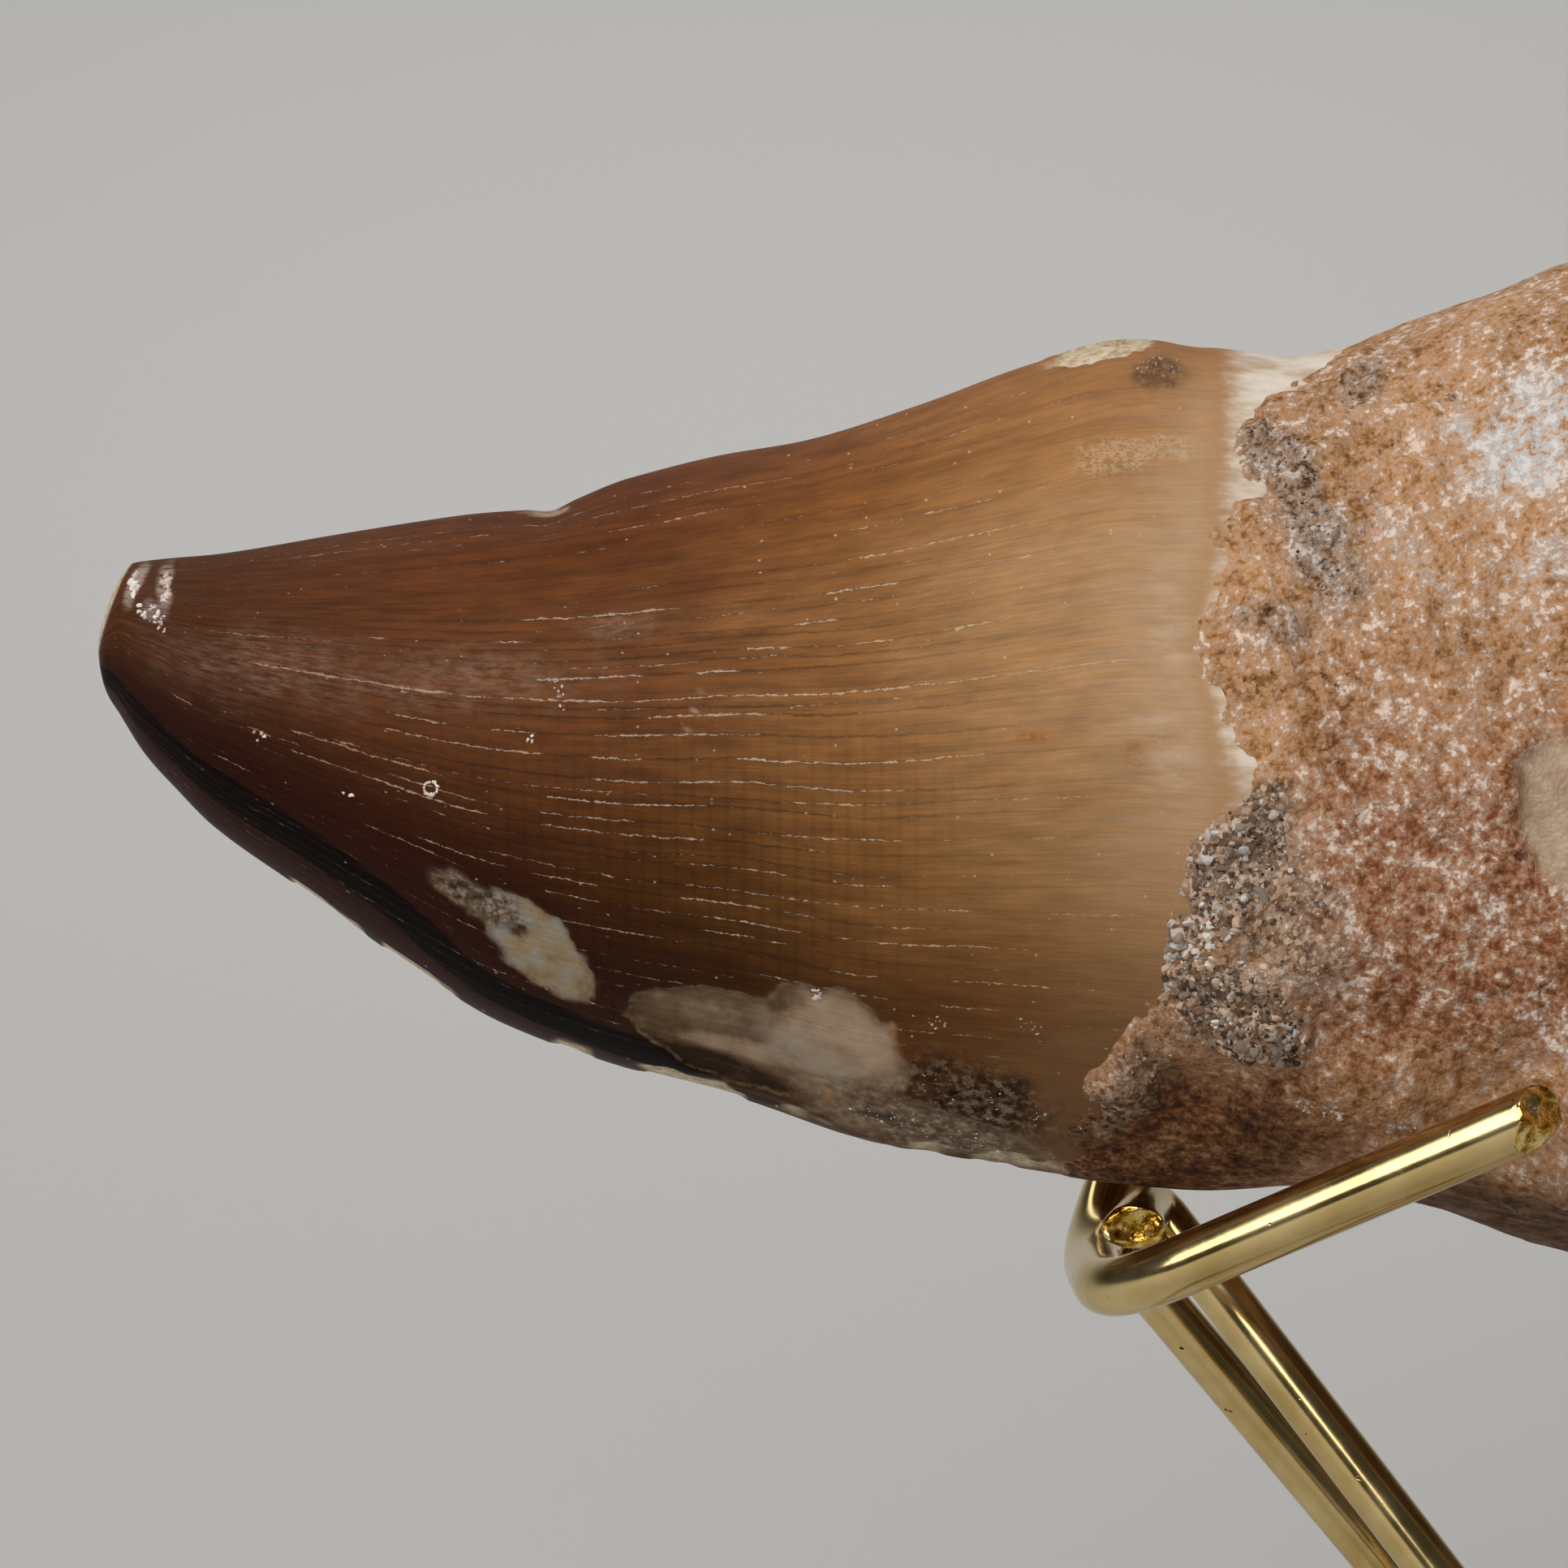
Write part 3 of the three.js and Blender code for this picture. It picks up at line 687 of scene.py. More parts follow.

# %% [markdown]
# ## Gravel on the collar
#
# Most of it lies in two thick patches under the middle of the collar, with thin trails of finer
# sand above and below. In each thick patch, pale grains and nearly black ones are two clusters
# in the same place, which keeps both kinds crisp; the nearly black ones are partly dark sand and
# partly painted shade between the pale grains. A row of black grains beside the grey clump is a
# painted shadow.

# %% Gravel
# Middle, half size, turn, count, range of radius, range of tint (0 is nearly black, 1 is white).
GRAVEL = [
    ((50.3, -4.3), (4.49, 1.78), 0.98, 420, (0.07, 0.4), (0.3, 1.0)),
    # Nearly black grains under the pale ones: partly dark sand, partly painted shade between them.
    ((50.3, -4.3), (4.3, 1.6), 0.98, 240, (0.05, 0.17), (0.0, 0.3)),
    ((50.9, -9.3), (3.68, 1.89), -0.5, 380, (0.07, 0.34), (0.1, 0.95)),
    # Nearly black grains under the pale ones: partly dark sand, partly painted shade between them.
    ((51.6, -9.6), (3.0, 1.5), -0.5, 240, (0.06, 0.22), (0.0, 0.2)),
    ((53.3, -5.6), (2.42, 3.91), 0.2, 260, (0.07, 0.2), (0.5, 0.95)),
    ((46.7, -13.0), (3.07, 1.25), 0.95, 120, (0.06, 0.16), (0.1, 0.7)),
    ((48.7, -8.7), (0.38, 0.38), 0.3, 3, (0.4, 0.6), (0.78, 0.85)),
    ((52.4, -10.7), (1.3, 0.7), -0.4, 26, (0.25, 0.55), (0.3, 0.52)),
    # Black grains beside the grey clump: a painted shadow.
    ((53.6, -11.0), (0.25, 0.8), 0.3, 12, (0.15, 0.3), (0.0, 0.02)),
    ((53.5, 13.9), (2.47, 1.23), -1.0, 170, (0.06, 0.18), (0.1, 0.8)),
    ((54.9, 10.2), (3.19, 1.31), -1.15, 130, (0.06, 0.15), (0.2, 0.8)),
    ((57.4, 17.6), (1.83, 0.96), 0.9, 90, (0.06, 0.17), (0.3, 0.9)),
    ((55.3, -13.5), (1.14, 0.38), 0.0, 24, (0.1, 0.22), (0.8, 0.95)),
    ((58.8, -14.5), (0.57, 0.38), 0.0, 12, (0.12, 0.24), (0.8, 0.95)),
]
rock_grains = scatter("matrix_grains", root_skin, GRAVEL, 0.5)
rock_grains.data.shade_flat()  # broken grains have flat faces with sharp edges between them

# %% [markdown]
# ## Lime on the crown
#
# White specks cling to the worn tip, and a few lie scattered over the enamel and the scars. One
# of them is a tiny ring.

# %% Lime
LIME = [
    ((2.0, 9.2), (0.18, 0.84), 0.2, 30, (0.1, 0.28), (0.4, 1.0)),
    ((3.5, 9.0), (0.24, 0.79), 0.1, 30, (0.1, 0.28), (0.4, 1.0)),
    ((3.0, 7.7), (0.74, 0.38), -0.5, 26, (0.08, 0.22), (0.4, 1.0)),
    ((3.6, 7.0), (0.34, 0.29), 0.0, 4, (0.08, 0.16), (0.0, 1.0)),
    ((8.1, 2.2), (0.29, 0.19), -0.6, 4, (0.12, 0.2), (0.0, 1.0)),
    ((12.2, -0.5), (0.29, 0.1), -0.3, 3, (0.1, 0.18), (0.0, 1.0)),
    ((20.5, 2.0), (0.14, 0.24), 0.0, 4, (0.1, 0.16), (0.0, 1.0)),
    ((21.8, 4.0), (0.24, 0.86), 0.2, 12, (0.07, 0.14), (0.0, 1.0)),
    ((33.1, -9.4), (0.25, 0.4), 0.0, 14, (0.08, 0.2), (0.4, 1.0)),
    ((38.1, -10.5), (0.9, 0.3), -0.2, 12, (0.05, 0.12), (0.2, 0.9)),
    ((42.5, -10.7), (0.9, 0.4), -0.2, 9, (0.04, 0.1), (0.2, 0.8)),
    ((48.6, 18.6), (1.18, 0.59), 0.3, 30, (0.06, 0.16), (0.0, 0.3)),
    ((40.5, -14.1), (3.1, 0.97), -0.3, 40, (0.04, 0.1), (0.0, 0.8)),
    ((38.6, -15.9), (4.2, 0.7), -0.27, 50, (0.04, 0.1), (0.2, 0.9)),
]
RING_RADIUS = 0.3
for turn in np.arange(0.4, 2 * math.pi, 0.45):  # a ring-shaped speck
    spot = (16.0 + RING_RADIUS * math.cos(turn), -0.2 + RING_RADIUS * math.sin(turn))
    LIME.append((spot, (0.03, 0.03), 0.0, 2, (0.07, 0.12), (0.3, 1.0)))
lime_specks = scatter("lime_specks", crown_skin, LIME, 0.3)

# %% [markdown]
# ## The stand's wires
#
# Each hook and each pair of legs is one length of round brass rod, bent cold. A wire is a circle
# carried along a bent line, and it must not twist on the way: each ring is turned from the one
# before only as much as the line itself turns. The ends were cut with nippers, which leaves a
# slightly drawn-in rim and an uneven face.

# %% Wires
HOOK_WIRE, LEG_WIRE = 1.35, 1.2  # radius in millimetres
MIDDLE = 68.0  # the stand mirrors about this place along the tooth
LEFT_HOOK = [
    (64.0, -12.9, -14.1), (46.1, -6.4, -22.8), (46.1, 5.4, -22.4), (51.2, 13.4, -11.5), (57.0, 17.1, -1.0),
]
RIGHT_HOOK = [
    (64.0, -14.6, -14.1), (46.1, -7.6, -22.8), (46.1, 7.4, -22.4), (51.2, 17.9, -11.5), (56.5, 19.3, -1.0),
]
LEG_TOPS = [(47.6, -1.8, -20.35), (49.0, 3.6, -19.7)], [(48.0, 9.0, -22.8)]
FOOT_X, FOOT_Z = 84.2, -66.0


def bent_line(corners, bends):
    """Points through the corners, each corner rounded from its bend length before it."""
    corners = np.array(corners, dtype=float)
    points = [corners[0]]
    for i in range(1, len(corners) - 1):
        bend = bends[i - 1]
        to_last, to_next = corners[i - 1] - corners[i], corners[i + 1] - corners[i]
        before = corners[i] + to_last * bend / np.linalg.norm(to_last)
        after = corners[i] + to_next * bend / np.linalg.norm(to_next)
        for t in np.linspace(0, 1, 15):
            points.append((1 - t) ** 2 * before + 2 * t * (1 - t) * corners[i] + t * t * after)
    points.append(corners[-1])
    return np.array(points)


# The end of a cut wire: rings from the middle of the face out to the full radius, then along the
# wire. Each is a share of the radius and millimetres from the end.
CUT_RINGS = [
    (0.15, 0.0), (0.3, 0.0), (0.45, 0.0), (0.6, 0.0), (0.75, 0.0), (0.87, 0.0), (0.95, 0.03), (0.99, 0.1),
    (1.0, 0.22), (1.0, 0.5), (1.0, 1.0), (1.0, 1.6), (1.0, 2.3),
]
CUT_REACH = 2.4  # the slant of the face has faded out this far from the end


def cut_end(points, share, reach, hollow):
    """How far each point of an end ring moves into the wire, from its place in the section.

    Nippers leave two slanted faces that meet in a ridge, dented and a little hollow.
    """
    side, up = points[:, 1], points[:, 2]
    ridge = -0.35 - 0.25 * side
    slant = -0.65 * side + 1.1 * np.maximum(ridge - up, 0)
    dented = 0.3 * lumps(side + 31, up, share, 0.6) + 0.16 * lumps(side, up + 9, share, 0.3)
    sunk = hollow * smooth(0.8, 0.35, share)
    return slant * (1 - reach / CUT_REACH) ** 2 + (dented if share < 0.97 else 0.3 * dented) + sunk


def wire(name, corners, bends, radius, hollow=0.1):
    """A round rod along a bent line, with slanted, dented faces where it was cut."""
    line = bent_line(corners, bends)
    first, last = line[1] - line[0], line[-1] - line[-2]
    first, last = first / np.linalg.norm(first), last / np.linalg.norm(last)
    start = [(line[0] + first * reach, share, reach, 1.0) for share, reach in CUT_RINGS]
    middle = [(place, 1.0, CUT_REACH, 0.0) for place in line[1:-1]]
    end = [(line[-1] - last * reach, share, reach, -1.0) for share, reach in reversed(CUT_RINGS)]
    steps = start + middle + end
    centres = np.array([step[0] for step in steps])
    ahead = np.gradient(centres, axis=0)
    ahead[:len(start)], ahead[-len(end):] = first, last
    ahead /= np.linalg.norm(ahead, axis=1)[:, None]
    turn = np.linspace(0, 2 * math.pi, 36, endpoint=False)
    across = np.cross(ahead[0], (0.3, 0.2, 1.0))
    rings, cut = [], []
    for (centre, share, reach, inward), way in zip(steps, ahead):
        across = across - way * np.dot(across, way)
        across /= np.linalg.norm(across)
        circle = np.outer(np.cos(turn), across) + np.outer(np.sin(turn), np.cross(way, across))
        ring = radius * share * circle
        ring = ring * (1 + hollow * (1 - reach / CUT_REACH) * np.array((0.45, 0.0, -0.2)))  # squeezed
        if inward:
            ring = ring + (inward * cut_end(ring, share, reach, hollow))[:, None] * way
        rings.append(centre + ring)
        cut.append(np.full(len(turn), float(share < 0.97)))
    places = to_frame(*np.moveaxis(np.array(rings), -1, 0))
    poles = [to_frame(*(rings[k].mean(axis=0))) for k in (0, -1)]
    return ring_mesh(name, places, *poles, {"cut": np.array(cut)})


def mirrored(corners):
    """The same corners for the other half of the stand."""
    return [(2 * MIDDLE - x, y, z) for x, y, z in corners]


def leg_frame(spread):
    """Up the front leg, along the foot bar and up the back leg."""
    front_top, back_top = LEG_TOPS
    return front_top + [(FOOT_X, -spread, FOOT_Z), (FOOT_X, spread, FOOT_Z)] + back_top


print("thickness of the rods, mm:", 2 * HOOK_WIRE, "and", 2 * LEG_WIRE)

# %% [markdown]
# ## The four rods
#
# Each rod takes the place of the CAD solids that its length runs through. The right hook is a
# little wider than the left one, because the root is thicker there.

# %% The four rods
HOOK_BENDS, LEG_BENDS = (4.0, 4.0, 4.0), (1.4, 2.5, 2.5)  # where each bend starts, from its corner
CRUSHED = 0.5  # how hollow the nippers left the ends of the legs
wires = [
    (wire("left_hook_wire", LEFT_HOOK, HOOK_BENDS, HOOK_WIRE), ["left_hook"]),
    (wire("right_hook_wire", mirrored(RIGHT_HOOK), HOOK_BENDS, HOOK_WIRE), ["right_hook"]),
    (wire("left_leg_frame", leg_frame(13.6), LEG_BENDS, LEG_WIRE, CRUSHED),
     ["left_front_leg", "left_foot_bar", "left_back_leg"]),
    (wire("right_leg_frame", mirrored(leg_frame(19.5)), LEG_BENDS, LEG_WIRE, CRUSHED),
     ["right_front_leg", "right_foot_bar", "right_back_leg"]),
]

# %% [markdown]
# ## A way to write materials
#
# A Blender material is a small network: patterns feed numbers into ramps, and ramps feed the
# shader. One function adds a node, gives it its settings and joins its inputs in order, so the
# code below reads from top to bottom as the surface is built up. Colours are written as the hex
# values a painting program shows, and turned into the linear light values Blender works in.

# %% Colours and nodes
def linear(hex_colour):
    """An sRGB hex colour as linear red, green, blue and alpha."""
    parts = [int(hex_colour[i:i + 2], 16) / 255 for i in (1, 3, 5)]
    return [p / 12.92 if p <= 0.04045 else ((p + 0.055) / 1.055) ** 2.4 for p in parts] + [1.0]


def add(tree, kind, *joins, out=0, stops=None, **settings):
    """Adds a node with its settings, joins or sets its inputs in order, and returns one output."""
    made = tree.nodes.new("ShaderNode" + kind)
    for name, value in settings.items():
        setattr(made, name, value)
    for spot, value in enumerate(joins):
        if isinstance(value, bpy.types.NodeSocket):
            tree.links.new(value, made.inputs[spot])
        elif value is not None:
            made.inputs[spot].default_value = linear(value) if isinstance(value, str) else value
    if stops:
        ramp = made.color_ramp
        while len(ramp.elements) < len(stops):
            ramp.elements.new(0.5)
        for element, (place, colour) in zip(ramp.elements, stops):
            element.position = place
            element.color = linear(colour) if isinstance(colour, str) else [colour] * 3 + [1.0]
    return made.outputs[out]


def start_material(name):
    """An empty material, a short way to add its nodes, its shader's inputs and a way to join."""
    material = bpy.data.materials.new(name)
    material.use_nodes = True
    tree = material.node_tree
    return material, partial(add, tree), tree.nodes["Principled BSDF"].inputs, tree.links.new


print("middle grey as linear light:", round(linear("#808080")[0], 3))

# %% [markdown]
# ## Fossil enamel
#
# Tooth enamel is a dense mineral skin, and burial stains it: dark red-brown at the tip, honey
# further down and ivory at the collar. Its marks follow how it grew, so the patterns are
# stretched along the tooth, in coordinates that fan out with the crown: the first is millimetres
# from the tip, the second is millimetres round it at its widest. The material is long, so it is
# built in steps, and each step lays its colours over what the steps before it made.

# %% Enamel: places, marks and patterns
material, node, shader, link = start_material("fossil_enamel")
crown_piece.data.materials.append(material)
growth = node("Attribute", attribute_name="growth", out=1)
x_mm = node("SeparateXYZ", growth, out=0)
place = node("VectorMath", node("TexCoord", out=3), (1000, 1000, 1000), operation="MULTIPLY")
mark = {
    name: node("Attribute", attribute_name=name, out=2) for name in crown_values if name != "growth"
}
down, to_collar = mark["down"], mark["to_collar"]

noises = []
for lengthwise, sideways, detail, rough in (  # cells to a millimetre along and across the growth
    (0.13, 0.4, 3.0, 0.55),  # clouds of stain, 8 mm by 2.5 mm
    (0.42, 1.3, 4.0, 0.6),  # blotches, 2.4 mm by 0.8 mm
    (0.1, 1.9, 5.0, 0.7),  # streaks, 10 mm by 0.5 mm
    (0.3, 7.5, 5.0, 0.75),  # silky lines, 3.3 mm by 0.13 mm
    (1.1, 2.2, 5.0, 0.7),  # mottles, 0.9 mm by 0.45 mm
    (1.8, 0.8, 4.0, 0.7),  # jags that push a crack aside, every half millimetre
    (1.2, 1.6, 6.0, 0.85),  # dashes of white mineral in a crack, up to 0.8 mm long
):
    stretched = node("VectorMath", growth, (lengthwise, sideways, 1.0), operation="MULTIPLY")
    noises.append(node("TexNoise", stretched, None, 1.0, detail, rough))
stain, blotches, streak, silk, mottle, jagged, dash = noises
beads = node("TexNoise", place, None, 3.6, 3.0, 0.7)  # a quarter of a millimetre
grit = node("TexNoise", place, None, 2.2, 5.0, 0.7)  # half a millimetre and finer
cloud = node("TexNoise", place, None, 0.55, 5.0, 0.6)  # two millimetres
print("marks on the enamel:", ", ".join(mark))

# %% [markdown]
# ### Stain
#
# The stain deepens towards the tip and towards the lower edge, where the darkening is partly
# real stain and partly painted shade. One ramp along the tooth colours its upper part and a darker
# one its lower part, and the streaks make their border uneven. Then blotches, streaks and silky
# lines multiply the colour up or down a little.

# %% Enamel: stain
CROWN_LENGTH = 52  # millimetres
share = node("Math", x_mm, 1 / CROWN_LENGTH, -0.09, operation="MULTIPLY_ADD")
share = node("Math", stain, 0.18, share, operation="MULTIPLY_ADD")
upper = node("ValToRGB", share, stops=[
    (0.0, "#58331b"), (0.1, "#4f2a12"), (0.3, "#653819"), (0.5, "#6d401d"), (0.66, "#8f6035"),
    (0.82, "#af8459"), (1.0, "#c39c74"),
])
# The lower ramp's dark browns are partly real stain and partly painted shade.
lower = node("ValToRGB", share, stops=[
    (0.0, "#240802"), (0.15, "#2a0c03"), (0.35, "#3a1b07"), (0.55, "#52310f"), (0.72, "#7d532b"),
    (1.0, "#a67f55"),
])
level = node("Math", streak, 0.2, down, operation="MULTIPLY_ADD")
level = node("MapRange", level, 0.44, 0.86, interpolation_type="SMOOTHSTEP")
colour = node("MixRGB", level, upper, lower)
strength = node("MapRange", to_collar, 2.0, 24.0, 0.5, 1.0)
for pattern, least, most, amount in (
    (blotches, 0.76, 1.22, strength), (streak, 0.78, 1.18, strength), (silk, 0.82, 1.16, 1.0),
):
    tone = node("MapRange", pattern, 0.32, 0.68, least, most)
    colour = node("MixRGB", amount, colour, tone, blend_type="MULTIPLY")

# Darker towards both edges, except at the tip: painted shade, for light falling off towards the edges.
painted_edge_shade = node("ValToRGB", down, stops=[
    (0.0, "#dcc5aa"), (0.12, "#edddcb"), (0.25, "#ffffff"), (0.69, "#ffffff"), (0.8, "#c2b6a7"),
    (1.0, "#a89a8a"),
])
colour = node("MixRGB", node("MapRange", x_mm, 10, 22), colour, painted_edge_shade, blend_type="MULTIPLY")

# Honey-coloured streaks near the collar, in the upper half.
honey = node("MapRange", to_collar, 22, 8)
honey = node("Math", node("MapRange", streak, 0.5, 0.64), honey, operation="MULTIPLY")
honey = node("Math", honey, node("MapRange", down, 0.75, 0.45), operation="MULTIPLY")
colour = node("MixRGB", node("Math", honey, 0.4, operation="MULTIPLY"), colour, "#9a6a32")
print("nodes so far:", len(material.node_tree.nodes))

# %% [markdown]
# ### Growth lines and the dark edge
#
# Enamel is laid down in steps, which show as faint lines across the tooth, three quarters of a
# millimetre apart. Along the lower edge near the tip the stain turns reddish brown in stripes,
# with a nearly black streak in it.

# %% Enamel: growth lines and dark edge
cross_at = node("VectorMath", growth, (0.42, 0.012, 1.0), operation="MULTIPLY")
cross = node("TexWave", cross_at, 1.0, 0.8, 2.0, 1.5, 0.5, out=1)
cross = node("MapRange", cross, 0.0, 0.4, 0.87, 1.0)
crossed = node("MapRange", down, 0.35, 0.55)
crossed = node("Math", node("MapRange", x_mm, 12, 20), crossed, operation="MULTIPLY")
crossed = node("Math", crossed, node("MapRange", to_collar, 8, 16), operation="MULTIPLY")
colour = node("MixRGB", crossed, colour, cross, blend_type="MULTIPLY")

red = node("MapRange", x_mm, 33, 17)
red = node("Math", node("MapRange", down, 0.58, 0.8), red, operation="MULTIPLY")
stripes = node("MapRange", streak, 0.38, 0.6, 0.95, 0.6)
colour = node("MixRGB", node("Math", red, stripes, operation="MULTIPLY"), colour, "#2c0a03")
dark = node("Math", streak, 1.6, -0.8, operation="MULTIPLY_ADD")
dark = node("Math", dark, mark["dark_streak"], operation="ADD")
dark = node("MapRange", dark, 0.3, 0.7, interpolation_type="SMOOTHSTEP")
colour = node("MixRGB", dark, colour, "#060100")
print("nodes so far:", len(material.node_tree.nodes))

# %% [markdown]
# ### The collar
#
# The enamel thins out and pales towards its end. There it turns amber, and then white and
# chalky. The mesh carries how far each point is inside that band, and blotches and mottles
# added to it make the band's border cloudy.

# %% Enamel: collar
pale = node("Math", streak, 5.0, to_collar, operation="MULTIPLY_ADD")
pale = node("MapRange", pale, 9.0, 3.0, interpolation_type="SMOOTHSTEP")
pale = node("Math", pale, node("MapRange", down, 0.7, 0.5, 0.15, 1.0), operation="MULTIPLY")
band = mark["white_band"]
for pattern, size in ((blotches, 1.0), (mottle, 1.4)):
    shift = node("Math", pattern, size, -size / 2, operation="MULTIPLY_ADD")
    band = node("Math", shift, band, operation="ADD")
fringe = node("MapRange", band, -1.8, 0.5)
fringe = node("ValToRGB", fringe, stops=[(0.1, 0.0), (0.55, 1.0), (0.95, 0.0)])
band = node("MapRange", band, -0.9, 0.7, interpolation_type="SMOOTHSTEP")
chalk_white = node("ValToRGB", blotches, stops=[
    (0.35, "#c6ae94"), (0.5, "#dfcfbb"), (0.65, "#ebdfd0"),
])
for mask, amount, over in (
    (pale, 0.45, "#c6a687"), (fringe, 0.45, "#a8763e"), (band, 0.95, chalk_white),
):
    colour = node("MixRGB", node("Math", mask, amount, operation="MULTIPLY"), colour, over)
print("nodes so far:", len(material.node_tree.nodes))

# %% [markdown]
# ### Cracks
#
# Where the distance on the mesh is nearly zero there is a crack. Noise makes it jagged. It is a
# dark hairline all along, painted shade in the split, and white mineral fills it here and there, in
# beads and dashes. The whiter the crack is, the wider its filling.

# %% Enamel: cracks
filling = node("ValToRGB", share, stops=[
    (0.0, "#ad836e"), (0.6, "#d6bfa8"), (0.8, "#dcbe94"), (1.0, "#cfae80"),
])
crack = node("Math", jagged, 0.3, mark["crack"], operation="MULTIPLY_ADD")
crack = node("Math", crack, 0.15, operation="SUBTRACT")
crack = node("Math", crack, operation="ABSOLUTE")
dash = node("MapRange", dash, 0.36, 0.64, -0.45, 0.45)
# The dark hairline is painted shade in the split.
crack_shade_line = node("MapRange", crack, 0.085, 0.015)
for fainter in (
    node("MapRange", dash, -0.4, 0.2, 0.25, 1.0),
    node("MapRange", to_collar, 3.0, 18.0, 0.0, 1.0),
    node("MapRange", down, 0.15, 0.4, 0.35, 1.0),
):
    crack_shade_line = node("Math", crack_shade_line, fainter, operation="MULTIPLY")
white = node("Math", mark["crack_white"], dash, operation="ADD")
width = node("MapRange", white, 0.2, 1.0, 0.012, 0.05)
width = node("Math", width, node("MapRange", beads, 0.38, 0.62, 0.2, 1.8), operation="MULTIPLY")
shown = node("MapRange", node("Math", crack, width, operation="DIVIDE"), 1.2, 0.5)
shown = node("Math", shown, node("MapRange", white, 0.22, 0.62), operation="MULTIPLY")
for mask, amount, over in ((crack_shade_line, 0.6, "#2a150a"), (shown, 0.7, filling)):
    colour = node("MixRGB", node("Math", mask, amount, operation="MULTIPLY"), colour, over)
print("nodes so far:", len(material.node_tree.nodes))

# %% [markdown]
# ### Dust, film with painted sheen, and crust
#
# Pale specks of dust a tenth of a millimetre across lie on the enamel, about one on every two
# square millimetres. Chalky film dulls it in soft patches, lightened there as painted sheen, and
# lime clings to the tip. A net of pale crust and cloudy and amber stains lie near the collar, and
# dark gritty crust beside the long scar and below the chip.

# %% Enamel: dust, film with painted sheen, and crust
dust = node("TexVoronoi", growth, None, 1.5, out=0)
chosen = node("SeparateColor", dust.node.outputs[1])
dust = node("Math", dust, node("Math", beads, 0.3, operation="MULTIPLY"), operation="DIVIDE")
dust = node("MapRange", dust, 0.8, 0.4)
dust = node("Math", dust, node("MapRange", chosen, 0.7, 0.8), operation="MULTIPLY")
# The film's pale colour is partly painted sheen.
film = node("MapRange", mottle, 0.42, 0.62, 0.1, 1.0)
film = node("Math", film, mark["film"], operation="MULTIPLY")
lime = node("Math", mark["lime"], node("MapRange", mottle, 0.4, 0.5), operation="MULTIPLY")
net = node("Math", grit, 0.5, operation="SUBTRACT")
net = node("MapRange", node("Math", net, operation="ABSOLUTE"), 0.05, 0.015)
net = node("Math", net, mark["net"], operation="MULTIPLY")
cloudy = node("Math", mark["cloudy"], node("MapRange", blotches, 0.4, 0.58), operation="MULTIPLY")
amber = node("Math", mark["amber"], node("MapRange", mottle, 0.4, 0.55), operation="MULTIPLY")
for mask, amount, over in (
    (dust, 0.6, filling), (film, 0.36, filling), (lime, 0.5, "#cdb9ac"), (net, 0.4, "#dcc8a4"),
    (cloudy, 0.4, "#d2b9a2"), (amber, 0.8, "#985a1c"),
):
    colour = node("MixRGB", node("Math", mask, amount, operation="MULTIPLY"), colour, over)
crust_colour = node("ValToRGB", grit, stops=[(0.4, "#1b0f08"), (0.5, "#3d2a1b"), (0.6, "#7d6853")])
crust = node("MapRange", mottle, 0.28, 0.46)
crust = node("Math", mark["dark_crust"], crust, operation="MULTIPLY")
colour = node("MixRGB", crust, colour, crust_colour)
print("nodes so far:", len(material.node_tree.nodes))

# %% [markdown]
# ### Scars and worn edges
#
# Where enamel flaked off, waxy dentine shows. The small scar is even in colour, with a gritty
# upper end and one brown pit. The long one runs from dark brown to pale grey-brown in cloudy
# bands along it, and its tail is gritty. A pale rim borders both. The tip, the chip, the nick
# and the cutting edge are worn to ivory.

# %% Enamel: scars and worn edges
small_colour = node("ValToRGB", cloud, stops=[(0.36, "#7c6448"), (0.5, "#968265"), (0.6, "#938d83")])
gritty = node("ValToRGB", grit, stops=[(0.42, "#2c1c12"), (0.52, "#6b5a4a"), (0.62, "#a09484")])
small_colour = node("MixRGB", mark["small_scar_end"], small_colour, gritty)
colour = node("MixRGB", mark["small_scar"], colour, small_colour)
colour = node("MixRGB", mark["pit"], colour, "#4f3322")
tone = node("Math", mark["scar_pale"], 0.35, operation="MULTIPLY")
for pattern, size in ((cloud, 0.6), (streak, 0.2), (silk, 0.25)):
    tone = node("Math", pattern, size, tone, operation="MULTIPLY_ADD")
long_colour = node("ValToRGB", tone, stops=[
    (0.34, "#2c1c0e"), (0.46, "#4f3a26"), (0.6, "#6c5640"), (0.77, "#957d63"), (0.94, "#ad977f"),
])
for name, amount, over in (("scar_gritty", 0.6, gritty), ("scar_blue", 0.3, "#8b8781")):
    over_it = node("Math", mark[name], amount, operation="MULTIPLY")
    long_colour = node("MixRGB", over_it, long_colour, over)
colour = node("MixRGB", mark["long_scar"], colour, long_colour)
scars = node("Math", mark["small_scar"], mark["long_scar"], operation="MAXIMUM")
rim = node("ValToRGB", scars, stops=[(0.1, 0.0), (0.45, 1.0), (0.85, 0.0)])
rim = node("Math", rim, node("MapRange", mottle, 0.4, 0.6), operation="MULTIPLY")
ivory = mark["edge_chip"]
for worn in ("tip_wear", "nick", "cutting_edge"):
    ivory = node("Math", ivory, mark[worn], operation="MAXIMUM")
ivory_colour = node("ValToRGB", grit, stops=[(0.38, "#b49a74"), (0.5, "#d6c3a3"), (0.62, "#e4d8c2")])
for mask, amount, over in (
    (mark["rusty"], 0.55, "#a2683c"), (mark["sooty"], 0.8, "#1c0f08"), (mark["scratch"], 0.4, filling),
    (rim, 0.4, "#a58c6e"), (ivory, 0.85, ivory_colour),
):
    colour = node("MixRGB", node("Math", mask, amount, operation="MULTIPLY"), colour, over)
link(colour, shader["Base Color"])
print("nodes so far:", len(material.node_tree.nodes))

# %% [markdown]
# ### Polish and fine relief
#
# Enamel keeps a satin polish, which is dull where dentine, film or crust shows. It is glassy
# inside, so a little light goes in and spreads by under a millimetre. Streaks, growth lines and
# cracks are finer than the mesh, so a bump draws their relief, a few hundredths of a millimetre.

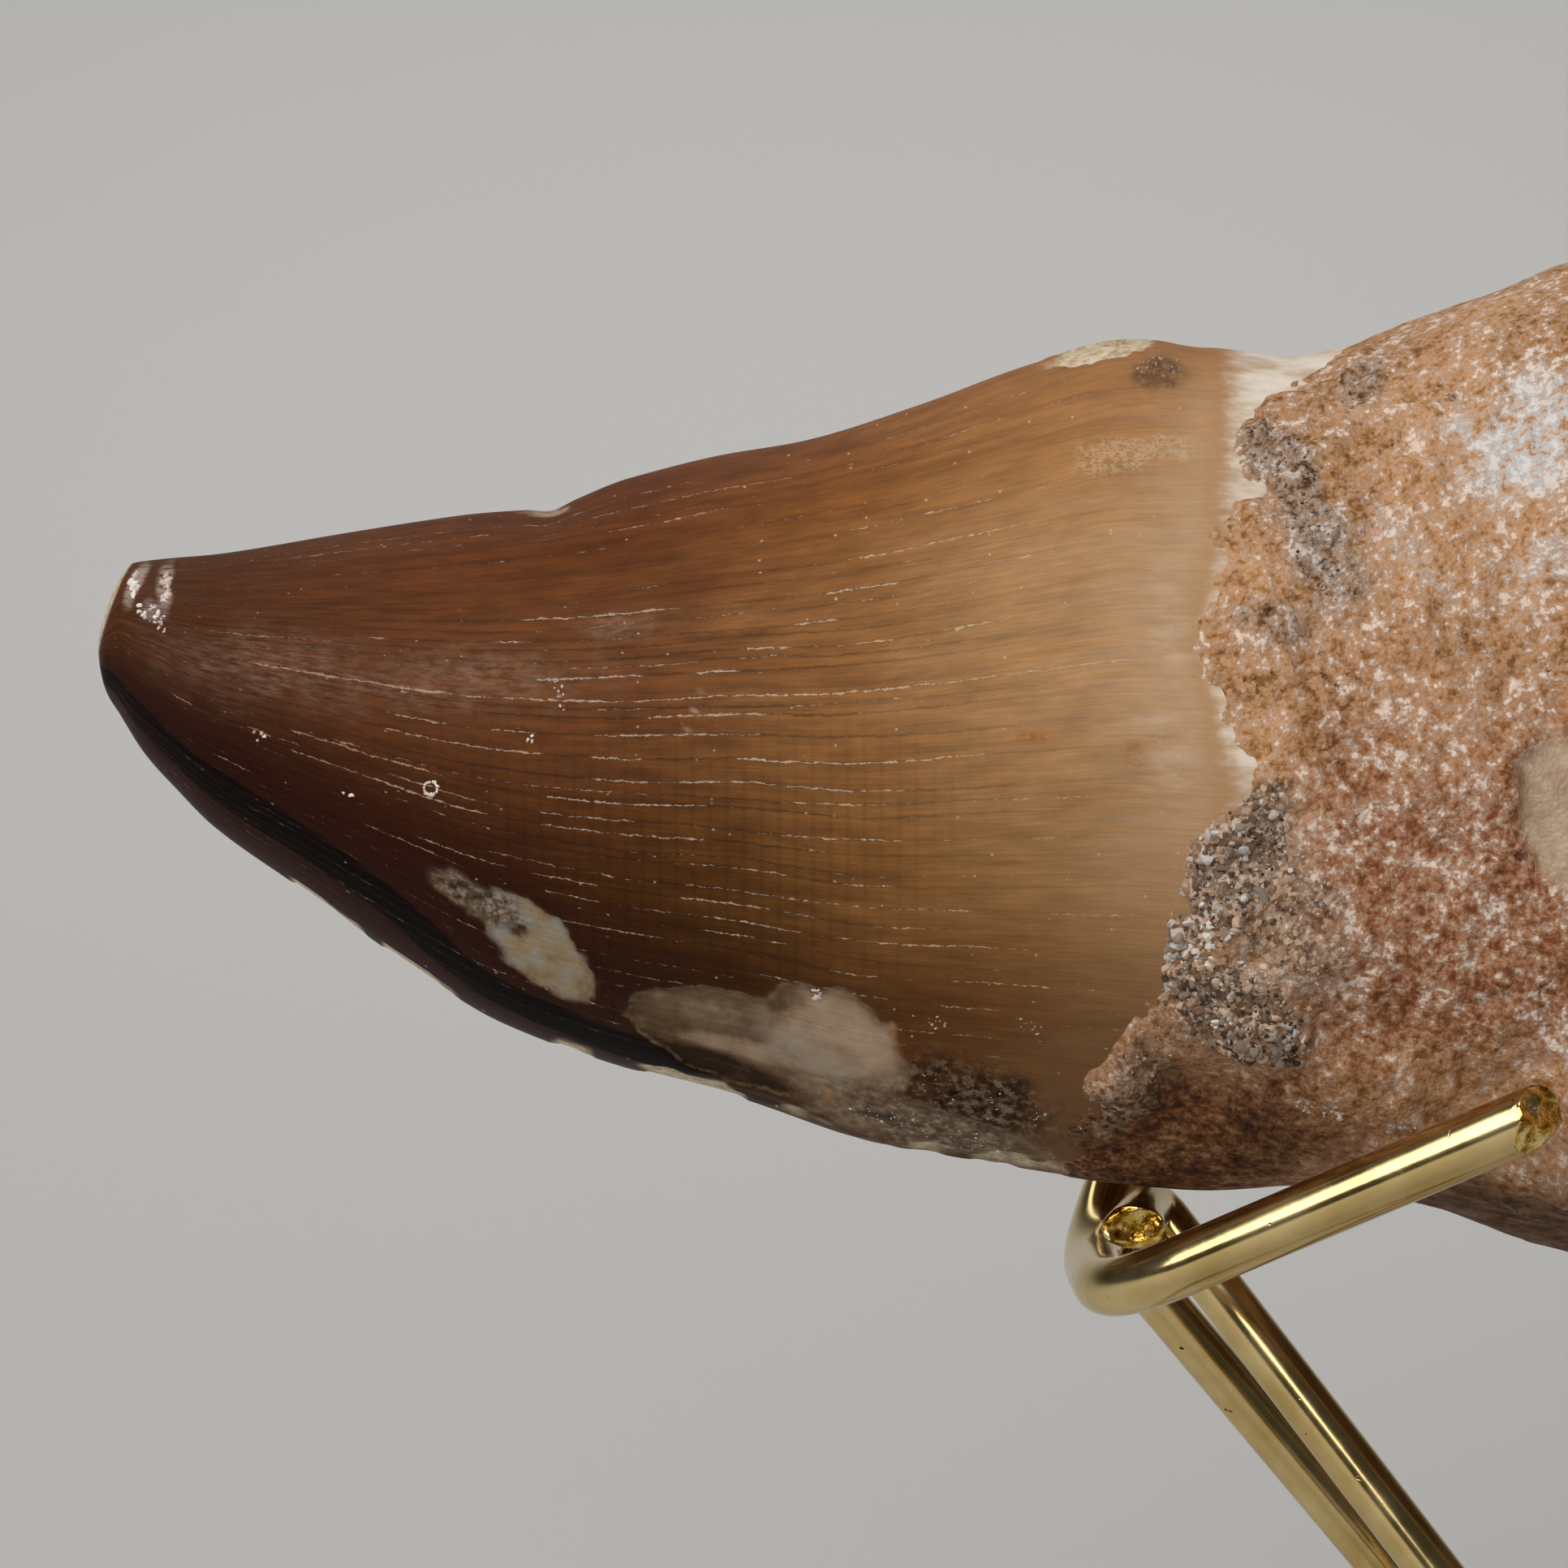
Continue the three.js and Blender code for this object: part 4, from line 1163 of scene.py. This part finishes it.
# %% Enamel: polish and fine relief
bare = node("Math", node("Math", film, crust, operation="MAXIMUM"), band, operation="MAXIMUM")
bare = node("Math", node("Math", scars, ivory, operation="MAXIMUM"), bare, operation="MAXIMUM")
bare = node("Math", node("Math", dark, 0.8, operation="MULTIPLY"), bare, operation="MAXIMUM")
polish = node("MapRange", silk, 0.3, 0.7, 0.34, 0.5)
link(node("MixRGB", bare, polish, "#c8c8c8"), shader["Roughness"])
shader["IOR"].default_value = 1.6
shader["Specular IOR Level"].default_value = 0.05
shader["Subsurface Weight"].default_value = 0.06
shader["Subsurface Radius"].default_value = (0.9, 0.45, 0.2)
shader["Subsurface Scale"].default_value = 0.0008

ridges = node("Math", node("Math", streak, strength, operation="MULTIPLY"), silk, operation="ADD")
for height, size in (
    (crack_shade_line, -0.6), (shown, 0.6), (crossed, node("Math", cross, 0.5, operation="MULTIPLY")),
    (grit, node("Math", bare, 1.2, operation="MULTIPLY")),
):
    ridges = node("Math", height, size, ridges, operation="MULTIPLY_ADD")
link(node("Bump", 0.55, 0.00005, 0.1, ridges), shader["Normal"])
print("fossil_enamel:", len(material.node_tree.nodes), "nodes")

# %% [markdown]
# ## Fossil bone
#
# The root's bone is a sponge filled with minerals. Under a lens it looks like coarse sugar: white
# and pink crystals a fifth of a millimetre across on orange-brown ground, crowded in some
# places and sparse in others. One noise gives soft grains of every size, and cells give each
# grain its own shade. Two broader noises crowd the crystals into groups.

# %% Bone: sugar
material, node, shader, link = start_material("fossil_bone")
root_piece.data.materials.append(material)
place = node("VectorMath", node("TexCoord", out=3), (1000, 1000, 1000), operation="MULTIPLY")
elsewhere = node("VectorMath", place, (7.0, 3.0, 5.0), operation="ADD")
mark = {name: node("Attribute", attribute_name=name, out=2) for name in root_values}
grey, gravel, chalk, bald = mark["grey_patch"], mark["gravel"], mark["chalk"], mark["bald"]

broad = node("TexNoise", place, None, 0.12, 3.0, 0.55)  # 8 mm
patch = node("TexNoise", place, None, 0.38, 4.0, 0.6)  # 2.6 mm
cluster = node("TexNoise", elsewhere, None, 0.75, 4.0, 0.6)  # 1.3 mm
sugar = node("TexNoise", place, None, 2.0, 6.0, 0.65)  # half a millimetre and finer
pores = node("TexNoise", elsewhere, None, 1.7, 5.0, 0.7)
bent = node("TexNoise", place, None, 3.0, 2.0, 0.5, out=1)
crooked = node("VectorMath", bent, (0.12, 0.12, 0.12), place, operation="MULTIPLY_ADD")
cell = node("TexVoronoi", crooked, None, 5.0, out=1)  # five grains to a millimetre
inside = cell.node.outputs[0]
grains = node("Math", node("SeparateColor", cell), 0.13, sugar, operation="MULTIPLY_ADD")
for pattern, size, shift in ((patch, 0.35, -0.05), (cluster, 0.42, -0.175)):
    crowd = node("Math", pattern, size, shift, operation="MULTIPLY_ADD")
    grains = node("Math", crowd, grains, operation="ADD")
calm = node("Math", mark["orange"], 0.6, operation="MULTIPLY")
calm = node("Math", calm, mark["margin"], operation="MAXIMUM")
for mask, size in ((calm, -0.07), (chalk, 0.04)):
    grains = node("Math", mask, size, grains, operation="MULTIPLY_ADD")
print("marks on the bone:", ", ".join(mark))

# %% [markdown]
# ### Its colours
#
# Hollows are amber brown, the ground is peach, and the grains that stand out are pinkish white.
# One ramp gives these for each kind of ground: tan and peach in broad patches, rust in the
# middle, dark umber along the lower margin, where it is partly painted shade, and in the stains
# behind, and ash in the grey patches.

# %% Bone: colours
tan, peach, rust, umber, ash = (node("ValToRGB", grains, stops=stops) for stops in (
    [(0.53, "#7c4f2c"), (0.62, "#a47649"), (0.71, "#bb8d66"), (0.79, "#d2aa8c"), (0.88, "#edd4c0")],
    [(0.53, "#996b3f"), (0.63, "#bd8c5e"), (0.75, "#d5a783"), (0.88, "#eed3bd")],
    [(0.55, "#774426"), (0.65, "#986342"), (0.73, "#b28262"), (0.79, "#cda88e"), (0.88, "#e6d0c0")],
    [(0.46, "#2b180d"), (0.57, "#492c19"), (0.65, "#603b23"), (0.73, "#7b4f2d"), (0.82, "#9c7553")],
    [(0.55, "#43352a"), (0.64, "#85705c"), (0.74, "#a8978a"), (0.85, "#cdc3ba")],
))
colour = node("MixRGB", node("MapRange", broad, 0.44, 0.58), tan, peach)
# The umber lower margin is partly stain and partly painted shade.
for name, ground in (("orange", peach), ("red", rust), ("margin", umber)):
    colour = node("MixRGB", mark[name], colour, ground)
for mask, amount, over in ((grey, 0.65, ash), (mark["stain"], 0.6, umber)):
    colour = node("MixRGB", node("Math", mask, amount, operation="MULTIPLY"), colour, over)
shade = node("MapRange", inside, 0.1, 0.7, 1.06, 0.88)  # each grain is darker round its edge
colour = node("MixRGB", 1.0, colour, shade, blend_type="MULTIPLY")
print("nodes so far:", len(material.node_tree.nodes))

# %% [markdown]
# ### Sand, pores and patches
#
# Between the grains of rock, and in the hollow end, the ground is the same sand, only finer.
# Small dark pits, the pores, lie in groups. Over it all come chalk in soft clouds, black specks
# in the grey crust, a bald waxy patch, and a lobe of dark layered bone under the hook, its
# darkness partly painted shade.

# %% Bone: sand, pores and patches
sand = node("TexVoronoi", crooked, None, 4.2, out=1)
sand = node("ValToRGB", node("SeparateColor", sand), stops=[
    (0.0, "#1e150e"), (0.25, "#4a382a"), (0.45, "#7d6654"), (0.6, "#8e8070"), (0.8, "#b5977e"),
    (1.0, "#d5c3b1"),
])
sandy = node("Math", mark["filling"], 0.9, operation="MULTIPLY")
sandy = node("Math", sandy, gravel, operation="MAXIMUM")
rim = node("ValToRGB", mark["filling"], stops=[(0.05, 0.0), (0.4, 1.0), (0.9, 0.0)])

crusty = node("Math", grey, gravel, operation="MAXIMUM")
solid = node("Math", 1.0, bald, operation="SUBTRACT")
group = node("Math", node("MapRange", patch, 0.46, 0.36), crusty, operation="MAXIMUM")
hollow = node("Math", node("MapRange", pores, 0.42, 0.34), solid, operation="MULTIPLY")
hollow = node("Math", hollow, node("MapRange", group, 0.0, 1.0, 0.12, 1.0), operation="MULTIPLY")
for mask, amount, over in ((sandy, 0.8, sand), (rim, 0.5, "#3c2413"), (hollow, 0.85, "#3c2013")):
    colour = node("MixRGB", node("Math", mask, amount, operation="MULTIPLY"), colour, over)

chalky = node("MapRange", grains, 0.66, 0.78, 0.1, 1.0)
chalky = node("Math", chalk, chalky, operation="MULTIPLY")
speck = node("MapRange", node("TexVoronoi", crooked, None, 2.3, out=0), 0.24, 0.1)
speck = node("Math", speck, node("MapRange", sugar, 0.42, 0.56), operation="MULTIPLY")
speck = node("Math", speck, crusty, operation="MULTIPLY")
for mask, over in ((chalky, "#dfd9d4"), (speck, "#18100c")):
    colour = node("MixRGB", mask, colour, over)
bald_colour = node("ValToRGB", patch, stops=[(0.38, "#a88a70"), (0.6, "#bfa88e")])
layers = node("VectorMath", place, (0.5, 1.5, 3.5), operation="MULTIPLY")
layers = node("TexNoise", layers, None, 0.8, 4.0, 0.7)
# The lobe's dark colours are partly painted shade under the hook and along the lower edge.
lobe_and_shade_colour = node("ValToRGB", layers, stops=[(0.38, "#22130c"), (0.5, "#46301f"), (0.62, "#74594a")])
for mask, over in ((bald, bald_colour), (mark["lobe"], lobe_and_shade_colour)):
    colour = node("MixRGB", node("Math", mask, 0.85, operation="MULTIPLY"), colour, over)
link(colour, shader["Base Color"])
print("nodes so far:", len(material.node_tree.nodes))

# %% [markdown]
# ### Its finish
#
# Rough bone scatters light in all directions, so it is dull all over and only the bald patch has
# some sheen. A bump adds what is finer than the mesh: crystals stand up, pores and specks sink.

# %% Bone: finish
link(node("MapRange", bald, 0.0, 1.0, 0.75, 0.45), shader["Roughness"])
shader["IOR"].default_value = 1.5
shader["Specular IOR Level"].default_value = 0.15
shader["Subsurface Weight"].default_value = 0.05
shader["Subsurface Radius"].default_value = (0.9, 0.5, 0.3)
shader["Subsurface Scale"].default_value = 0.0005
crystal = node("Math", node("MapRange", grains, 0.74, 0.84), solid, operation="MULTIPLY")
lift = sugar
for height, size in ((hollow, -0.7), (crystal, 0.4), (inside, -0.5), (speck, -1.0)):
    lift = node("Math", height, size, lift, operation="MULTIPLY_ADD")
link(node("Bump", 0.8, 0.00012, 0.1, lift), shader["Normal"])
print("fossil_bone:", len(material.node_tree.nodes), "nodes")

# %% [markdown]
# ## Rock and lime
#
# Sandstone and lime are dull minerals. Each grain takes one colour of a ramp by its own tint,
# with a slight mottle a quarter of a millimetre across, so no two look alike.

# %% Rock and lime
def tinted(name, stops, roughness):
    """A dull mineral whose grains each take one colour of a ramp."""
    material, node, shader, link = start_material(name)
    tint = node("Attribute", attribute_name="tint", out=2)
    place = node("VectorMath", node("TexCoord", out=3), (1000, 1000, 1000), operation="MULTIPLY")
    mottle = node("TexNoise", place, None, 4.0, 3.0, 0.6)
    tint = node("Math", mottle, 0.25, tint, operation="MULTIPLY_ADD")
    tint = node("Math", tint, 0.12, operation="SUBTRACT")
    link(node("ValToRGB", tint, stops=stops), shader["Base Color"])
    shader["Roughness"].default_value = roughness
    link(node("Bump", 0.5, 0.00004, 0.1, mottle), shader["Normal"])
    return material


rock_grains.data.materials.append(tinted("sandy_rock", [
    (0.0, "#1c140e"), (0.14, "#4a382b"), (0.28, "#7a5a40"), (0.42, "#80766b"), (0.58, "#a6886c"),
    (0.74, "#c6a990"), (0.86, "#b4b1ad"), (1.0, "#e4d8ca"),
], 0.7))
lime_specks.data.materials.append(tinted("lime", [
    (0.0, "#8a705c"), (0.35, "#c2a896"), (0.7, "#e2d2c8"), (1.0, "#efe8e2"),
], 0.6))
print("materials so far:", ", ".join(m.name for m in bpy.data.materials))

# %% [markdown]
# ## Polished brass
#
# The rods are drawn brass, polished: a pale yellow mirror with a faint cloudiness and a few dark
# pits. Where the nippers crushed them, the cut faces are crumpled and a deeper, brighter gold.

# %% Brass
material, node, shader, link = start_material("polished_brass")
for piece, nodes in wires:
    piece.data.materials.append(material)
place = node("VectorMath", node("TexCoord", out=3), (1000, 1000, 1000), operation="MULTIPLY")
cut = node("Attribute", attribute_name="cut", out=2)
cloud = node("TexNoise", place, None, 0.35, 3.0, 0.6)  # three millimetres
pit = node("MapRange", node("TexNoise", place, None, 1.7, 2.0, 0.5), 0.27, 0.22)
waves = node("TexNoise", place, None, 1.4, 3.0, 0.6)
bright = node("ValToRGB", cloud, stops=[(0.35, "#bfa46a"), (0.65, "#d2ba84")])
raw = node("ValToRGB", waves, stops=[(0.38, "#8a6018"), (0.5, "#d8ae4a"), (0.62, "#ecd795")])
colour = node("MixRGB", cut, bright, raw)
colour = node("MixRGB", pit, colour, "#3c2410")
link(colour, shader["Base Color"])
shader["Metallic"].default_value = 1.0
rough = node("MapRange", cloud, 0.35, 0.65, 0.12, 0.2)
link(node("Math", cut, 0.06, rough, operation="MULTIPLY_ADD"), shader["Roughness"])
deeper = node("Math", cut, 6.0, 0.12, operation="MULTIPLY_ADD")
waves = node("Math", waves, deeper, operation="MULTIPLY")
waves = node("Math", pit, -0.5, waves, operation="MULTIPLY_ADD")
link(node("Bump", 0.6, 0.00004, 0.1, waves), shader["Normal"])
print("polished_brass:", len(material.node_tree.nodes), "nodes")

# %% [markdown]
# ## Hand-over to the frame
#
# Every piece rests in the stand, so all of them ride on the same body as the CAD tooth and wires.

# %% Hand-over to the frame
for piece in (crown_piece, root_piece, rock_grains, lime_specks):
    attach(piece, "root")
    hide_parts("fossil_tooth")
for piece, nodes in wires:
    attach(piece, "root")
    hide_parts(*nodes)
print("pieces handed over:", 4 + len(wires))

# %% [markdown]
# ## Stage and light
#
# A pale sheet curves up behind the stand, so no horizon shows. One large soft lamp above and to
# the left gives the enamel its broad sheen and lets the lower edge fall into shade.

# %% Stage and lights
def pale_sweep():
    """A sheet that lies on the shelf and curves up behind, made as one strip of quads."""
    bend, back, width = 0.8, 0.12, 3.0  # metres: radius, where it starts, half the width
    profile = [(-1.5, 0.0), (back, 0.0)]
    for step in range(1, 25):
        turn = math.radians(90 * step / 24)
        profile.append((back + bend * math.sin(turn), bend * (1 - math.cos(turn))))
    profile.append((back + bend, 2.5))
    corners = [(side * width, y, z) for y, z in profile for side in (-1, 1)]
    quads = [(2 * i, 2 * i + 1, 2 * i + 3, 2 * i + 2) for i in range(len(profile) - 1)]
    sweep = new_piece("pale_sweep", np.array(corners), quads, {})
    material, node, shader, link = start_material("pale_paper")
    shader["Base Color"].default_value = linear("#d9d7d3")
    shader["Roughness"].default_value = 0.9
    sweep.data.materials.append(material)


pale_sweep()


def soft_lamp(name, place, target, size, watts):
    """A rectangular area lamp that looks at a target. The larger it is, the softer its shadows."""
    data = bpy.data.lights.new(name, "AREA")
    data.shape = "RECTANGLE"
    data.size, data.size_y = size
    data.energy = watts
    lamp = bpy.data.objects.new(name, data)
    lamp.location = place
    lamp.rotation_euler = (Vector(target) - Vector(place)).to_track_quat("-Z", "Y").to_euler()
    bpy.context.collection.objects.link(lamp)


TOOTH_MIDDLE = (-0.01, 0.0, 0.07)
soft_lamp("key", (-0.14, -0.24, 0.26), TOOTH_MIDDLE, (0.32, 0.32), 1.15)
soft_lamp("backdrop", (0.0, 0.3, 0.6), (0.0, 0.62, 0.1), (1.2, 0.3), 2.6)
world = bpy.data.worlds.new("studio")
bpy.context.scene.world = world
world.use_nodes = True
world.node_tree.nodes["Background"].inputs["Color"].default_value = linear("#e8e8ea")
world.node_tree.nodes["Background"].inputs["Strength"].default_value = 0.08
bpy.context.scene.view_settings.view_transform = "Standard"
print("lamps:", ", ".join(light.name for light in bpy.data.lights))

# %% [markdown]
# ## Finish
#
# Last, the view layer is brought up to date, so every moved piece stands at its place.

# %% Finish
bpy.context.view_layer.update()
